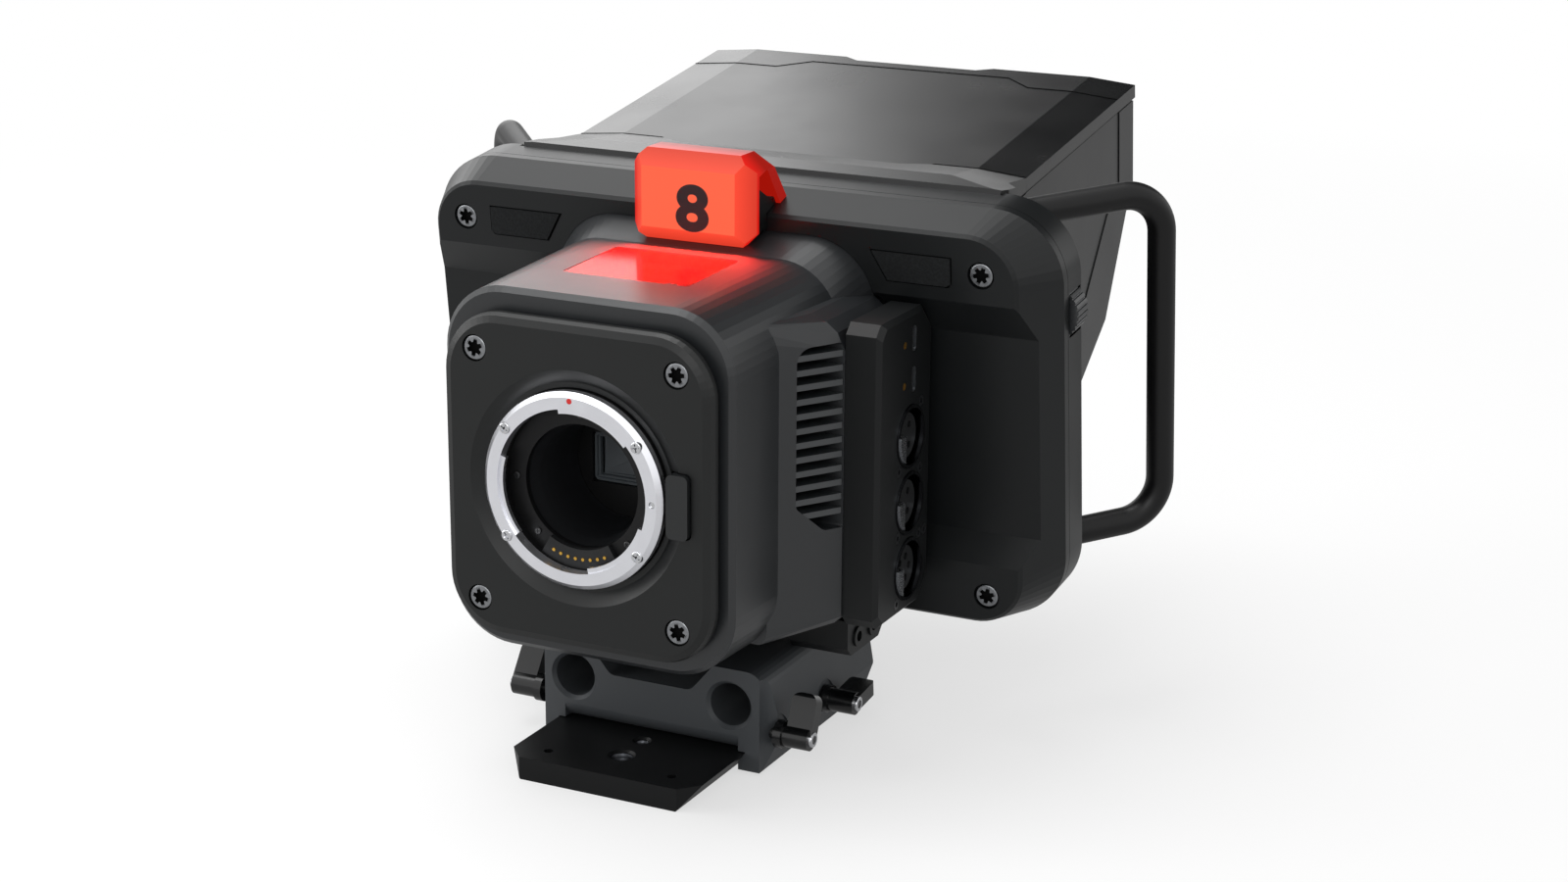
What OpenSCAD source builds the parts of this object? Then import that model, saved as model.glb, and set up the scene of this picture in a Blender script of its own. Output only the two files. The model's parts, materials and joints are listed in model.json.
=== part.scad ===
// Studio camera: a lens block with a bayonet mount, a wide monitor housing tilted back behind it,
// a folding sun hood, two side handles, an audio panel and a rod bracket on a sliding tripod plate.
// +Z is up and the lens looks along -Y. The origin is the tripod thread's axis, at the plate's underside.

/* [Placement] */
// Height of the lens axis above the underside of the tripod plate
axis_h = 109; // [107:0.5:114]
// Distance of the lens ring's face ahead of the tripod thread
ring_ahead = 31; // [28:1:40]
// Lean of the monitor housing, its foot further back than its top
tilt = 6.5; // [4:0.5:9]

/* [Lens mount] */
// Outer radius of the steel bayonet ring
ring_r = 32.5; // [31.5:0.25:33.5]
// Radius of the lens throat
throat_r = 27; // [26:0.25:27.5]
// Thickness of the bayonet ring
ring_t = 4; // [3:0.5:5]
// Radius of the ring's screw circle
ring_screw_pcd_r = 29.8; // [29.5:0.1:30]
// Radius of the dark tube behind the throat
tube_r = 20.5; // [18:0.5:22]
// Depth from the ring's face to the sensor's frame
flange_depth = 40; // [36:1:44]

/* [Front plate] */
// Half width of the plate round the lens
plate_half_w = 48.5; // [46:0.5:50]
// Half height of the plate round the lens
plate_half_h = 54; // [51:0.5:56]
// Corner radius of the plate
plate_corner_r = 20; // [14:1:22]
// How far the plate's face stands behind the ring's face
plate_face_y = 3; // [2:0.25:3.5]

/* [Lens block] */
// Half width of the block at its front rim
block_half_w = 52.5; // [51:0.5:55]
// Height of the block's top above the lens axis at its front rim
block_top = 61; // [59:0.5:63]
// Depth of the block's underside below the lens axis
block_drop = 60; // [58:0.5:61]
// Wall of the block and the housings
wall = 3; // [2:0.25:3.5]
// How far the block flares out where it meets the housing
flare = 4; // [2:0.5:6]

/* [Monitor housing] */
// Width of the housing
body_w = 240; // [234:2:250]
// Height of the housing's top above the lens axis, along its own lean
body_top = 78.3; // [77:0.5:82]
// Depth of the housing's underside below the lens axis
body_drop = 68.5; // [66:0.5:72]
// Depth of the housing, front to back
body_d = 35; // [33:0.5:38]
// Depth of the finger recess in the housing's front
recess_d = 8.3; // [6:0.5:10]
// Visible width of the screen's glass
screen_w = 160; // [150:2:164]
// Visible height of the screen's glass
screen_h = 96; // [88:2:102]

/* [Sun hood] */
// Half width of the hood
hood_half_w = 88; // [86:0.5:90]
// Length of the hood's roof behind its front seam
hood_len = 110; // [95:1:120]
// Sheet thickness of the hood
hood_t = 2.2; // [1.8:0.1:2.4]
// Largest fold of the side flaps, in degrees
flap_fold = 90; // [60:5:90]

/* [Handles] */
// Radius of the handle tube
grip_r = 4.9; // [4:0.1:5.5]
// Distance of each grip from the camera's middle
grip_x = 131.3; // [128:0.5:140]
// Angle by which the handles splay outwards
grip_splay = 42; // [38:1:46]

/* [Audio panel] */
// Spacing of the round audio sockets
xlr_pitch = 23; // [22.4:0.1:24]
// Radius of a round audio socket's shell
xlr_r = 10.7; // [10:0.1:10.9]
// How far the side panels stand out from the camera's middle
panel_x = 79; // [77:0.5:82]

/* [Tally lamp] */
// Width of the lamp's cover
tally_w = 46; // [40:1:52]
// Height of the lamp's top above the lens axis
tally_top = 95; // [91:1:100]

/* [Rod bracket and tripod plate] */
// Spacing of the two rods
rod_spacing = 60; // [59:0.5:62]
// Radius of a rod bore
rod_r = 7.55; // [7.5:0.01:7.75]
// Depth of the rods below the lens axis
rod_drop = 85; // [84:0.5:86]
// Length of the bracket
bracket_len = 82; // [76:1:90]
// Length of the tripod plate
plate_len = 135; // [120:1:150]
// Thickness of the tripod plate
plate_t = 8; // [7:0.5:9]
// Half width of the tripod plate's top
plate_top_half = 36; // [34:0.5:37]
// Radius of the large tripod thread's core
thread_big_r = 3.97; // [3.9:0.01:4.1]
// Radius of the small tripod thread's core
thread_small_r = 2.55; // [2.5:0.01:2.7]

/* [Knobs, dials and buttons] */
// Radius of a clamp knob's hub
hub_r = 4; // [3.6:0.1:4.4]
// Length of a clamp knob's hub
hub_len = 11; // [9:0.5:13]
// Radius of a thumb dial
dial_r = 9.7; // [9:0.1:10.5]
// Width of a thumb dial
dial_w = 9; // [8:0.5:10]
// Radius of a rear button
button_r = 4.2; // [3.5:0.1:5]
// Travel of a button or a latch
press = 1.5; // [1:0.1:2]

/* [Hidden] */
$fn = 48;

// Clearances and the overrun of every cut
gap = 0.35;
seam = 0.15;
fit = 0.05;
over = 1;
skin = 0.02;
hull_fn = 48;
SIDES = [-1, 1];

// Lens mount
ring_chamfer = 1.6;
tab_in = 1.6;
tab_y = 0.8;
tab_t = 1.6;
tab_angle = 58;
index_angle = 90;
ledge_y = 7;
throat_flange_t = 4.5;
tube_wall = 2.5;
ring_screw_angle = 37;
ring_screw_r = 1.9;
ring_screw_proud = 0.35;
ring_screw_len = 6;
socket_share = 0.5;
pin_r = 1;
pin_y = 0.6;
lock_pin_len = 9;
contact_raise = 2;
contact_angle = 62;
contact_pin_r = 0.55;
contact_pin_n = 8;
contact_pin_step = 6.6;
contact_pin_proud = 0.25;
window_w = 27;
window_h = 17;
sensor_rim = 5;
sensor_frame_t = 3;
glass_t = 1.2;

// Lens release button, in a slot of the front plate beside the ring
release_x = 37.4;
release_w = 7.6;
release_h = 21;
release_y = 1;
release_len = 9.5;
release_shoe = 1.6;
release_travel = 2.5;

// Front plate
plate_roll = 3;
plate_rim_t = 5;
plate_neck = 2.4;
plate_back_y = 10.5;
dish_r = 39;
dish_floor_r = 34.6;
dish_d = 2.4;
plate_screw_x = 36.4;
plate_screw_z = 42;
plate_screw_r = 4.1;
screw_head_t = 2.2;
screw_recess = 0.3;
plate_screw_shank_r = 1.9;
plate_screw_len = 9;

// Lens block
block_y = plate_back_y;
rim_roll = 1.8;
block_corner_r = 22;
block_mid_y = 80;
block_mid_half = 55.5;
block_rise = 1.8;
block_mid_top = block_top + block_rise;
block_rear_y = 98;
block_rear_half = block_mid_half + flare;
block_rear_top = block_mid_top + flare * 1.4;
block_tail_y = 116;
block_rear_drop = block_drop + flare;
inlay_half = 23;
inlay_y = 34;
inlay_len = 36;
inlay_t = 1.6;
inlay_corner_r = 1.5;
notch_w = 4;
notch_d = 1.2;
shoulder_y = 36;
shoulder_x = 66.8;
shoulder_top = 40;
shoulder_rise = 12;
shoulder_bottom = -50;
shoulder_fall = 5;
shoulder_root = 48.5;
shoulder_in = 40;
vent_y0 = 45;
vent_y1 = 60.4;
vent_top = 43;
vent_bottom = -19;
vent_heel = 9;
vent_r = 5;
vent_heel_r = 3;
vent_in = 50;
vent_out = 70;
fin_n = 12;
fin_t = 2;
fin_pitch = 4.8;
fin_set = 0.5;
fin_root = 4;
arc_n = 6;
SHOULDER_SHARES = [[0, 0], [0.5, 0.134], [0.766, 0.357], [0.94, 0.658], [1, 1]];

// Parts inside the block
sink_y = 59.8;
sink_t = 4;
sink_half = 49.4;
sink_top = 43;
sink_bottom = -24;
post_r = 2.5;
post_x = 26;
post_z = 22;
post_mid_z = 8;
post_len = 8;
board_half = 32;
board_t = 1.6;
fan_z = 8;
fan_half = 20;
fan_t = 11;
fan_bore_r = 18.6;
fan_hub_r = 8;
blade_n = 7;
blade_r = 17.6;
blade_t = 1.4;
blade_twist = 38;
fan_axle_r = 1.5;
fan_back_t = 2;
strut_w = 3;
fan_cup_t = 7;

// Side panels
panel_y0 = 61;
panel_y1 = 103;
panel_top = 49;
panel_bottom = -54;
panel_chamfer = 7;
panel_edge = 1.6;
xlr_y = 86;
xlr_z = 6.7;
xlr_wall = 1.1;
xlr_depth = 11;
xlr_proud = 0.6;
insert_r = 7.7;
insert_set = 1.4;
insert_hole_r = 1.25;
insert_pitch_r = 4;
insert_hole_d = 6;
latch_in = 5.4;
latch_low = 9;
latch_high = 1.5;
latch_len = 6;
latch_proud = 1.1;
usb_y = 88;
usb_z = 39.6;
usb_step = 13.8;
usb_h = 8.7;
usb_w = 3;
usb_wall = 0.4;
usb_depth = 7;
tongue_t = 0.7;
nut_y = 80.5;
nut_r = 1.2;
nut_drop = 0.9;
flange_dy = 8.6;
flange_dz = 10.1;
flange_screw_r = 1.9;
flange_screw_t = 1.2;
flange_screw_len = 5;
panel_screw_y = 99;
jack_x = 62;
jack_y0 = 76;
jack_y1 = 104;
jack_z0 = -71;
jack_z1 = -58;
jack_r = 1.85;
jack_collar_r = 3.6;
jack_pitch = 12;
jack_d = 14;
jack_in = 40;
jack_chamfer = 3;
bnc_r = 4.8;
bnc_len = 9;
bnc_collar_r = 6.4;
bnc_collar_t = 2;
bnc_lug_r = 0.9;
video_top = 32;
bnc_z = [22, 5];
power_z = -38;
power_r = 9;
power_bore_r = 7.8;
power_depth = 9;
power_pin_r = 0.8;
power_pin_pitch_r = 4.8;
net_w = 12.4;
net_h = 9.6;
net_d = 11;
net_z = -14;
net_wall = 1;

// Monitor housing; its own frame runs along the lean, y from its front face and z from the axis
body_face_y = 103.5;
body_face_in = 9;
body_face_down = 4;
body_face_half = body_w / 2 - body_face_in;
body_face_top = body_top - body_face_down;
body_face_drop = body_drop - body_face_down;
body_face_r = 18;
body_r = 25;
body_edge = 1.2;
part_ahead = 13.5;
roll_ahead = 3.5;
part_y = body_d - part_ahead;
roll_d = part_y - roll_ahead;
part_gap = 0.25;
rear_edge = 1.4;
band_top = 51;
floor_top = 37.6;
floor_bottom = -34;
band_bottom = -42.4;
shell_wall = 2.6;
side_room = body_face_half - block_rear_half;
screw_share = 0.7495;
mic_share = 0.5417;
body_screw_x = block_rear_half + screw_share * side_room;
body_screw_top = 61;
body_screw_bottom = -54;
body_screw_r = 4.3;
body_screw_shank_r = 2;
body_screw_len = 8;
mic_x0 = block_rear_half;
mic_x1 = block_rear_half + mic_share * side_room;
mic_slant = 5.5;
mic_cut = 1.4;
mic_low_x0 = mic_x0 + mic_slant;
mic_low_x1 = mic_x1 - mic_cut;
mic_top = 65.6;
mic_bottom = 56;
mic_in = 1.6;
mic_proud = 0.5;
mic_gap = 0.5;
strip_step = 3.4;
strip_y0 = body_d - strip_step;

// Screen
screen_z = 4;
glass_lip = 1.5;
bezel_w = 5;
bezel_t = 2;
bezel_in = 5.6;
bezel_rim = 2.4;
bezel_half = max(hood_half_w - bezel_in, screen_w / 2 + bezel_rim);
bezel_top = 66;
bezel_bottom = -58;
lcd_t = 5;
screen_glass_t = 1.4;
lcd_margin = 3;

// Sun hood; its own frame starts on the roof's outer edge at the front seam
hood_back = 31;
hood_drop = 4.7;
hood_y0 = body_d + hood_back;
hood_z0 = body_top - hood_drop;
hood_rise = 1.9;
crease_in = 18;
crease_x = hood_half_w - crease_in;
crease_h = 1.7;
flange_h = 4.8;
tongue_x0 = 54;
tongue_x1 = 44;
tongue_y = 7;
rear_seam = 91;
rear_tongue_x0 = 52.5;
rear_tongue_x1 = 41;
rear_tongue_y = 9.5;
notch_x0 = 31;
notch_x1 = 25;
rear_notch = 3.5;
strip_out = 5;
strip_half = hood_half_w + strip_out;
strip_end = 6;
strip_wide_len = 12;
strip_h = 1.4;
pin_post_r = 2.6;
hinge_pin_r = 1.2;
flap_stand = 5;
flap_stagger = 3.2;
flap_y_right = body_d + flap_stand;
flap_y_left = flap_y_right + flap_stagger;
flap_gap = 0.6;
flap_low_run = 109;
flap_mid_run = 85;
flap_run = 139;
flap_low_y = body_d + flap_low_run;
flap_low_z = -5;
flap_heel_z = 40;
flap_bevel = 4;
flap_mid_y = body_d + flap_mid_run;
flap_mid_z = -19.5;
flap_foot_z = -60;
flap_rear = body_d + flap_run;
knuckle_top = 58;
knuckle_bottom = -48;
lug_t = 5;
lug_reach = 4;
flap_lip = 15;
flap_step = 0.4;
flap_lip_z = 44;
flap_lip_in = 13;

// Handles
handle_out = 13.6;
handle_x = bezel_half + handle_out;
handle_top = 69;
handle_bottom = -52;
root_bend_r = 12;
corner_bend_r = 15;
boss_r = 6.4;
boss_len = 3;

// Tally lamp
tally_face_y = 79;
tally_bottom = 63.4;
tally_depth = 24;
tally_chamfer = 5.5;
tally_wall = 1.6;
tally_base_t = 3;
tally_slope_y = 12;
tally_side_in = 1;
tally_foot = 70;

// Rod bracket and tripod plate
bracket_y = 51;
lobe_top = 13.2;
lobe_out = 12;
ridge_out = 16;
ridge_z = 14.5;
leg_out = 11.5;
leg_h = 6.3;
dip_half = 15.5;
dip_top_half = 24;
dip_rise = 3;
rod_mouth_r = 8.7;
rod_mouth_d = 1.4;
pad_half = 15;
pad_y0 = 72;
pad_len = 54;
plate_slope = 6.5;
plate_front = 17;
plate_corner = 7;
slot_clear = 0.35;
small_thread_y = 14;
pin_hole_x = 23.5;
pin_hole_y = -8.2;
pin_hole_r = 1.6;
thread_mouth = 0.8;
scoop_r = 9;
scoop_out = 4.5;
boss_scoop_r = 6.6;
boss_scoop_d = 1.3;
roll_r = 6;
roll_half = 33.5;
dip_r = 4;
dip_edge_r = 2;
lobe_r = 6.5;
ridge_r = 3;
lip_h = 1.5;
lip_len = 4;
shell_gap = 0.2;

// Clamp knobs
knob_y = [58, 94];
knob_drop = 94.6;
knob_shaft_r = 2.4;
knob_shaft_in = 9;
knob_boss_r = 4.8;
knob_boss_t = 1.6;
knob_tip_r = 2.6;
knob_tip_t = 1;
lever_w = 9.2;
lever_len = 15;
lever_t = 5;
lever_end_r = 3.2;
lever_edge_r = 1.4;
knob_turn_angle = [-22, -84, -35, -60];

// Dials and rear buttons
dial_ahead = 7.2;
dial_y = body_d - dial_ahead;
dial_z = 42;
dial_step = 26;
dial_proud = 3;
dial_teeth = 30;
tooth_r = 0.45;
axle_r = 1.6;
axle_len = 2.2;
dial_slot = 0.6;
button_x = (hood_half_w + body_w / 2) / 2;
button_z = -5;
button_step = 20;
button_proud = 1.8;
button_lip = 0.8;

// Frames

// The lens frame: y runs back from the ring's face and z from the lens axis
module at_lens() { translate([0, -ring_ahead, axis_h]) children(); }

// The housing's frame, which leans with the monitor
module at_body() { translate([0, body_face_y, 0]) rotate([tilt, 0, 0]) children(); }

// The roof's frame, at the hood's front seam
module at_seam() { translate([0, hood_y0, hood_z0]) rotate([hood_rise, 0, 0]) children(); }
module at_roof() { at_body() at_seam() children(); }

// Extrusions and rods along an axis, between two places on it

module plate_y(y0, y1) { translate([0, y1, 0]) rotate([90, 0, 0]) linear_extrude(y1 - y0) children(); }
module plate_x(x0, x1) { translate([x0, 0, 0]) rotate([90, 0, 90]) linear_extrude(x1 - x0) children(); }
module plate_z(z0, z1) { translate([0, 0, z0]) linear_extrude(z1 - z0) children(); }
module rod_y(y0, y1, r) { translate([0, y0, 0]) rotate([-90, 0, 0]) cylinder(h = y1 - y0, r = r); }
module rod_x(x0, x1, r) { translate([x0, 0, 0]) rotate([0, 90, 0]) cylinder(h = x1 - x0, r = r); }
module turned_y(y0) { translate([0, y0, 0]) rotate([-90, 0, 0]) rotate_extrude() children(); }
module both_sides() {
    children();
    mirror([1, 0, 0]) children();
}

// Rounded rectangle, centred across, from z0 to z1
module rounded(half, z0, z1, r) {
    translate([-half + r, z0]) square([2 * (half - r), z1 - z0]);
    translate([-half, z0 + r]) square([2 * half, z1 - z0 - 2 * r]);
    for (side = SIDES) for (z = [z0 + r, z1 - r]) translate([side * (half - r), z]) circle(r = r);
}

// A thin slice of a loft at y
module slice(y, half, z0, z1, r) {
    plate_y(y, y + skin) rounded(half, z0, z1, r, $fn = hull_fn);
}

// The points of a polygon with its corners rounded, each by its own radius
function unit(v) = v / norm(v);
function corner_points(p, u, v, r) =
    let (half = acos(u * v) / 2, c = p + unit(u + v) * r / sin(half),
        a0 = atan2((p + u * r / tan(half) - c)[1], (p + u * r / tan(half) - c)[0]),
        a1 = atan2((p + v * r / tan(half) - c)[1], (p + v * r / tan(half) - c)[0]),
        turn = a1 - a0 > 180 ? a1 - a0 - 360 : a1 - a0 < -180 ? a1 - a0 + 360 : a1 - a0)
    [for (i = [0:arc_n]) c + r * [cos(a0 + turn * i / arc_n), sin(a0 + turn * i / arc_n)]];
function round_points(points, radii) = [for (i = [0:len(points) - 1])
    each radii[i] == 0 ? [points[i]] : corner_points(points[i],
        unit(points[(i + len(points) - 1) % len(points)] - points[i]),
        unit(points[(i + 1) % len(points)] - points[i]), radii[i])];

// A screw head with its shank, pointing back along y, and a hex socket
module screw_y(r, head_t, shank_r, len) {
    difference() {
        union() {
            rod_y(0, head_t, r);
            rod_y(head_t, len, shank_r);
        }
        translate([0, -over, 0]) rotate([-90, 0, 0])
            cylinder(h = over + head_t * socket_share, r = r * socket_share, $fn = 6);
    }
}

// Lens mount

module lens_mount_ring() {
    color("#c9cbd0") at_lens() difference() {
        union() {
            turned_y(0) polygon([[throat_r, 0], [ring_r - ring_chamfer, 0], [ring_r, ring_chamfer],
                [ring_r, ring_t], [throat_r, ring_t]]);
            for (turn = [20, 140, 260]) rotate([0, turn, 0]) translate([0, tab_y, 0])
                rotate([-90, 0, 0]) rotate_extrude(angle = tab_angle)
                translate([throat_r - tab_in, 0]) square([tab_in + seam, tab_t]);
        }
        for (side = SIDES) for (turn = [-ring_screw_angle, ring_screw_angle])
            rotate([0, turn + (1 - side) * 90, 0]) translate([ring_screw_pcd_r, 0, 0])
            rod_y(-over, ring_t + over, ring_screw_r + fit);
        translate([ring_screw_pcd_r - pin_y, 0, 0]) rod_y(-over, ring_t + over, pin_r + 2 * fit);
        translate([0, 0, ring_screw_pcd_r]) rod_y(-over, ring_screw_proud, ring_screw_r * socket_share);
    }
}

module ring_screws() {
    color("#d8dade") at_lens()
        for (side = SIDES) for (turn = [-ring_screw_angle, ring_screw_angle])
        rotate([0, turn + (1 - side) * 90, 0]) translate([ring_screw_pcd_r, -ring_screw_proud, 0])
        screw_y(ring_screw_r, ring_t / 2, ring_screw_r * 0.6, ring_screw_len);
}

module mount_throat() {
    color("#17181a") at_lens() difference() {
        turned_y(0) polygon([[throat_r, ring_t], [ring_r, ring_t], [ring_r, ring_t + throat_flange_t],
            [ring_r - tube_wall / 2, ring_t + throat_flange_t], [ring_r - tube_wall / 2, block_y + wall],
            [tube_r + tube_wall, block_y + 2 * wall], [tube_r + tube_wall, flange_depth],
            [0, flange_depth], [0, flange_depth - tube_wall], [tube_r, flange_depth - tube_wall],
            [tube_r, ledge_y], [throat_r, ledge_y]]);
        for (side = SIDES) for (turn = [-ring_screw_angle, ring_screw_angle])
            rotate([0, turn + (1 - side) * 90, 0]) translate([ring_screw_pcd_r, 0, 0])
            rod_y(0, ring_screw_len + seam, ring_screw_r * 0.6 + fit);
        translate([ring_screw_pcd_r - pin_y, 0, 0])
            rod_y(0, pin_y + lock_pin_len + release_travel + gap, pin_r + 2 * fit);
        translate([-window_w / 2, flange_depth - tube_wall - over, -window_h / 2])
            cube([window_w, tube_wall + 2 * over, window_h]);
    }
}

module contact_block() {
    color("#101113") at_lens() translate([0, ledge_y - contact_raise, 0]) rotate([-90, 0, 0])
        rotate([0, 0, 90 - contact_angle / 2]) rotate_extrude(angle = contact_angle)
        translate([tube_r + fit, 0]) square([throat_r - tube_r - 2 * fit, contact_raise]);
}

module contact_pins() {
    color("#d9a441") at_lens() for (i = [0:contact_pin_n - 1])
        rotate([0, 90 + (i - (contact_pin_n - 1) / 2) * contact_pin_step, 0])
        translate([(tube_r + throat_r) / 2, 0, 0])
        rod_y(ledge_y - contact_raise - contact_pin_proud, ledge_y - contact_raise, contact_pin_r);
}

module sensor_frame() {
    color("#303236") at_lens() difference() {
        plate_y(flange_depth, flange_depth + sensor_frame_t)
            rounded(window_w / 2 + sensor_rim, -window_h / 2 - sensor_rim, window_h / 2 + sensor_rim, over);
        plate_y(flange_depth - over, flange_depth + sensor_frame_t + over)
            rounded(window_w / 2 - over, -window_h / 2 + over, window_h / 2 - over, over / 2);
    }
}

module sensor_glass() {
    color([0.2, 0.24, 0.26]) at_lens()
        plate_y(flange_depth + sensor_frame_t, flange_depth + sensor_frame_t + glass_t)
        rounded(window_w / 2 + over, -window_h / 2 - over, window_h / 2 + over, over / 2);
}

module lens_release_button() {
    color("#1d1f21") at_lens() {
        plate_y(release_y, release_y + release_len) release_outline(0);
        plate_y(release_y + release_len, release_y + release_len + release_shoe)
            release_outline(over);
    }
}

// The button's outline: a flat flank beside the ring and round outer corners
module release_outline(grow) {
    translate([release_x, 0]) rounded(release_w / 2 + grow, -release_h / 2 - grow,
        release_h / 2 + grow, release_w / 4);
}

module lens_lock_pin() {
    color("#e4e6ea") at_lens() translate([ring_screw_pcd_r - pin_y, 0, 0])
        rod_y(pin_y, pin_y + lock_pin_len, pin_r);
}

// Front plate

module plate_outline(inset) {
    rounded(plate_half_w - inset, -plate_half_h + inset, plate_half_h - inset, plate_corner_r - inset);
}

module front_plate() {
    color("#232527") at_lens() difference() {
        union() {
            hull() {
                plate_y(plate_face_y, plate_face_y + skin) plate_outline(plate_roll, $fn = hull_fn);
                plate_y(plate_face_y + plate_roll / 3, plate_face_y + plate_roll / 2)
                    plate_outline(plate_roll / 4, $fn = hull_fn);
                plate_y(plate_face_y + plate_roll, plate_face_y + plate_rim_t)
                    plate_outline(0, $fn = hull_fn);
            }
            plate_y(plate_face_y + plate_rim_t, plate_back_y) plate_outline(plate_neck);
        }
        turned_y(0) polygon([[0, 0], [dish_r + over, 0], [dish_r, plate_face_y],
            [dish_floor_r, plate_face_y + dish_d], [ring_r + gap, plate_face_y + dish_d],
            [ring_r + gap, plate_back_y + over], [0, plate_back_y + over]]);
        plate_y(0, plate_back_y + over) release_outline(gap);
        plate_y(release_y + release_len - release_travel, plate_back_y + over)
            release_outline(over + gap);
        for (x = SIDES) for (z = SIDES) translate([x * plate_screw_x, 0, z * plate_screw_z]) {
            rod_y(0, plate_face_y + screw_head_t + screw_recess, plate_screw_r + gap);
            rod_y(0, plate_back_y + over, plate_screw_shank_r + seam);
        }
    }
}

module plate_screws() {
    color("#8d9094") at_lens() for (x = SIDES) for (z = SIDES)
        translate([x * plate_screw_x, plate_face_y + screw_recess, z * plate_screw_z])
        screw_y(plate_screw_r, screw_head_t, plate_screw_shank_r, plate_screw_len);
}

// Lens block

// The block's outer form, grown by an amount all round
module block_form(grow) {
    hull() {
        slice(block_y, block_half_w - rim_roll + grow, -block_drop + rim_roll - grow,
            block_top - rim_roll + grow, block_corner_r - rim_roll + grow);
        slice(block_y + rim_roll, block_half_w + grow, -block_drop - grow, block_top + grow,
            block_corner_r + grow);
        slice(block_mid_y, block_mid_half + grow, -block_drop - grow, block_mid_top + grow,
            block_corner_r + grow);
    }
    hull() {
        slice(block_mid_y, block_mid_half + grow, -block_drop - grow, block_mid_top + grow,
            block_corner_r + grow);
        slice(block_rear_y, block_rear_half + grow, -block_rear_drop - grow, block_rear_top + grow,
            block_corner_r + grow);
    }
    plate_y(block_rear_y, block_tail_y) rounded(block_rear_half + grow, -block_rear_drop - grow,
        block_rear_top + grow, block_corner_r + grow);
}

// The shoulder on each side that carries a side panel
module shoulder_form(grow) {
    hull() {
        plate_z(shoulder_bottom, shoulder_top) shoulder_plan(0, grow);
        for (share = SHOULDER_SHARES)
            plate_z(shoulder_bottom - shoulder_fall * share[0] - grow,
                shoulder_top + shoulder_rise * share[0] + grow) shoulder_plan(share[1], grow);
    }
}

// Plan of the shoulder, drawn in towards the block by a share of its width
module shoulder_plan(share, grow) {
    x0 = block_half_w - over - share * (block_half_w - over - shoulder_root) + grow;
    x1 = shoulder_x - share * (shoulder_x - shoulder_root) + grow;
    polygon([[shoulder_in, shoulder_y - grow], [x0, shoulder_y - grow], [x1, panel_y0 - over - grow],
        [x1, panel_y1 + grow], [shoulder_in, panel_y1 + grow]]);
}

// The vent's outline, seen from the side: a round upper corner and a slanted heel
module vent_window(x0, inset) {
    y0 = vent_y0 + inset;
    y1 = vent_y1 - inset;
    z0 = vent_bottom + inset;
    z1 = vent_top - inset;
    plate_x(x0, vent_out) polygon(round_points(
        [[y0, z1], [y0, z0 + vent_heel], [y0 + vent_heel, z0], [y1, z0], [y1, z1]],
        [vent_r, vent_heel_r, vent_heel_r, vent_heel_r / 3, vent_heel_r / 3]));
}

module lens_block() {
    color("#26282a") at_lens() difference() {
        union() {
            block_form(0);
            both_sides() shoulder_form(0);
        }
        // Inside of the block, open at the back
        hull() {
            slice(block_y + wall, block_half_w - wall, -block_drop + wall, block_top - wall,
                block_corner_r - wall);
            slice(block_mid_y, block_mid_half - wall, -block_drop + wall, block_mid_top - wall,
                block_corner_r - wall);
            slice(block_tail_y + over, block_mid_half - wall, -block_drop + wall,
                block_mid_top - wall, block_corner_r - wall);
        }
        rod_y(0, block_y + wall + over, ring_r - tube_wall / 2 + seam);
        plate_y(0, block_y + wall + over) release_outline(over + gap);
        for (x = SIDES) for (z = SIDES) translate([x * plate_screw_x, 0, z * plate_screw_z])
            rod_y(0, plate_face_y + plate_screw_len + over, plate_screw_shank_r + seam);
        both_sides() vent_window(vent_in - over, 0);
        // Back end, cut along the housing's lean inside the front shell
        at_body() translate([-body_w / 2, recess_d + shell_wall + over, -body_w / 2])
            cube([body_w, body_w, body_w]);
        both_sides() at_body() translate([block_rear_half + seam, -gap, -body_w / 2])
            cube([body_w, body_w, body_w]);
        inlay_pocket();
    }
}

module inlay_pocket() {
    at_inlay() translate([0, 0, -inlay_t]) linear_extrude(inlay_t + over) inlay_outline(seam);
}

// The inlay lies in the slope of the block's top
module at_inlay() {
    translate([0, block_y + rim_roll, block_top])
        rotate([atan((block_mid_top - block_top) / (block_mid_y - block_y - rim_roll)), 0, 0])
        children();
}

module inlay_outline(grow) {
    translate([0, inlay_y - block_y]) difference() {
        rounded(inlay_half + grow, -grow, inlay_len + grow, inlay_corner_r);
        translate([inlay_half - 2 * notch_w, -over]) square([notch_w, over + notch_d - grow]);
    }
}

module top_inlay() {
    color("#0b0c0d") at_lens() at_inlay() translate([0, 0, -inlay_t])
        linear_extrude(inlay_t - seam) inlay_outline(0);
}

module heat_sink() {
    color("#2b2d30") at_lens() {
        plate_y(sink_y, sink_y + sink_t) rounded(sink_half, sink_bottom, sink_top, over);
        for (x = SIDES) for (z = SIDES) translate([x * post_x, 0, post_mid_z + z * post_z])
            rod_y(sink_y - post_len, sink_y, post_r);
        both_sides() intersection() {
            for (i = [0:fin_n - 1]) translate([0, 0, vent_bottom + (i + 1) * fin_pitch])
                plate_z(0, fin_t) fin_plan();
            vent_window(sink_half - fin_root - over, seam);
        }
        both_sides() plate_x(sink_half - fin_root, sink_half - fin_t)
            translate([vent_y0 + vent_heel, vent_bottom + fin_t])
            square([sink_y - vent_y0 - vent_heel, vent_top - vent_bottom - 2 * fin_t]);
    }
}

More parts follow.
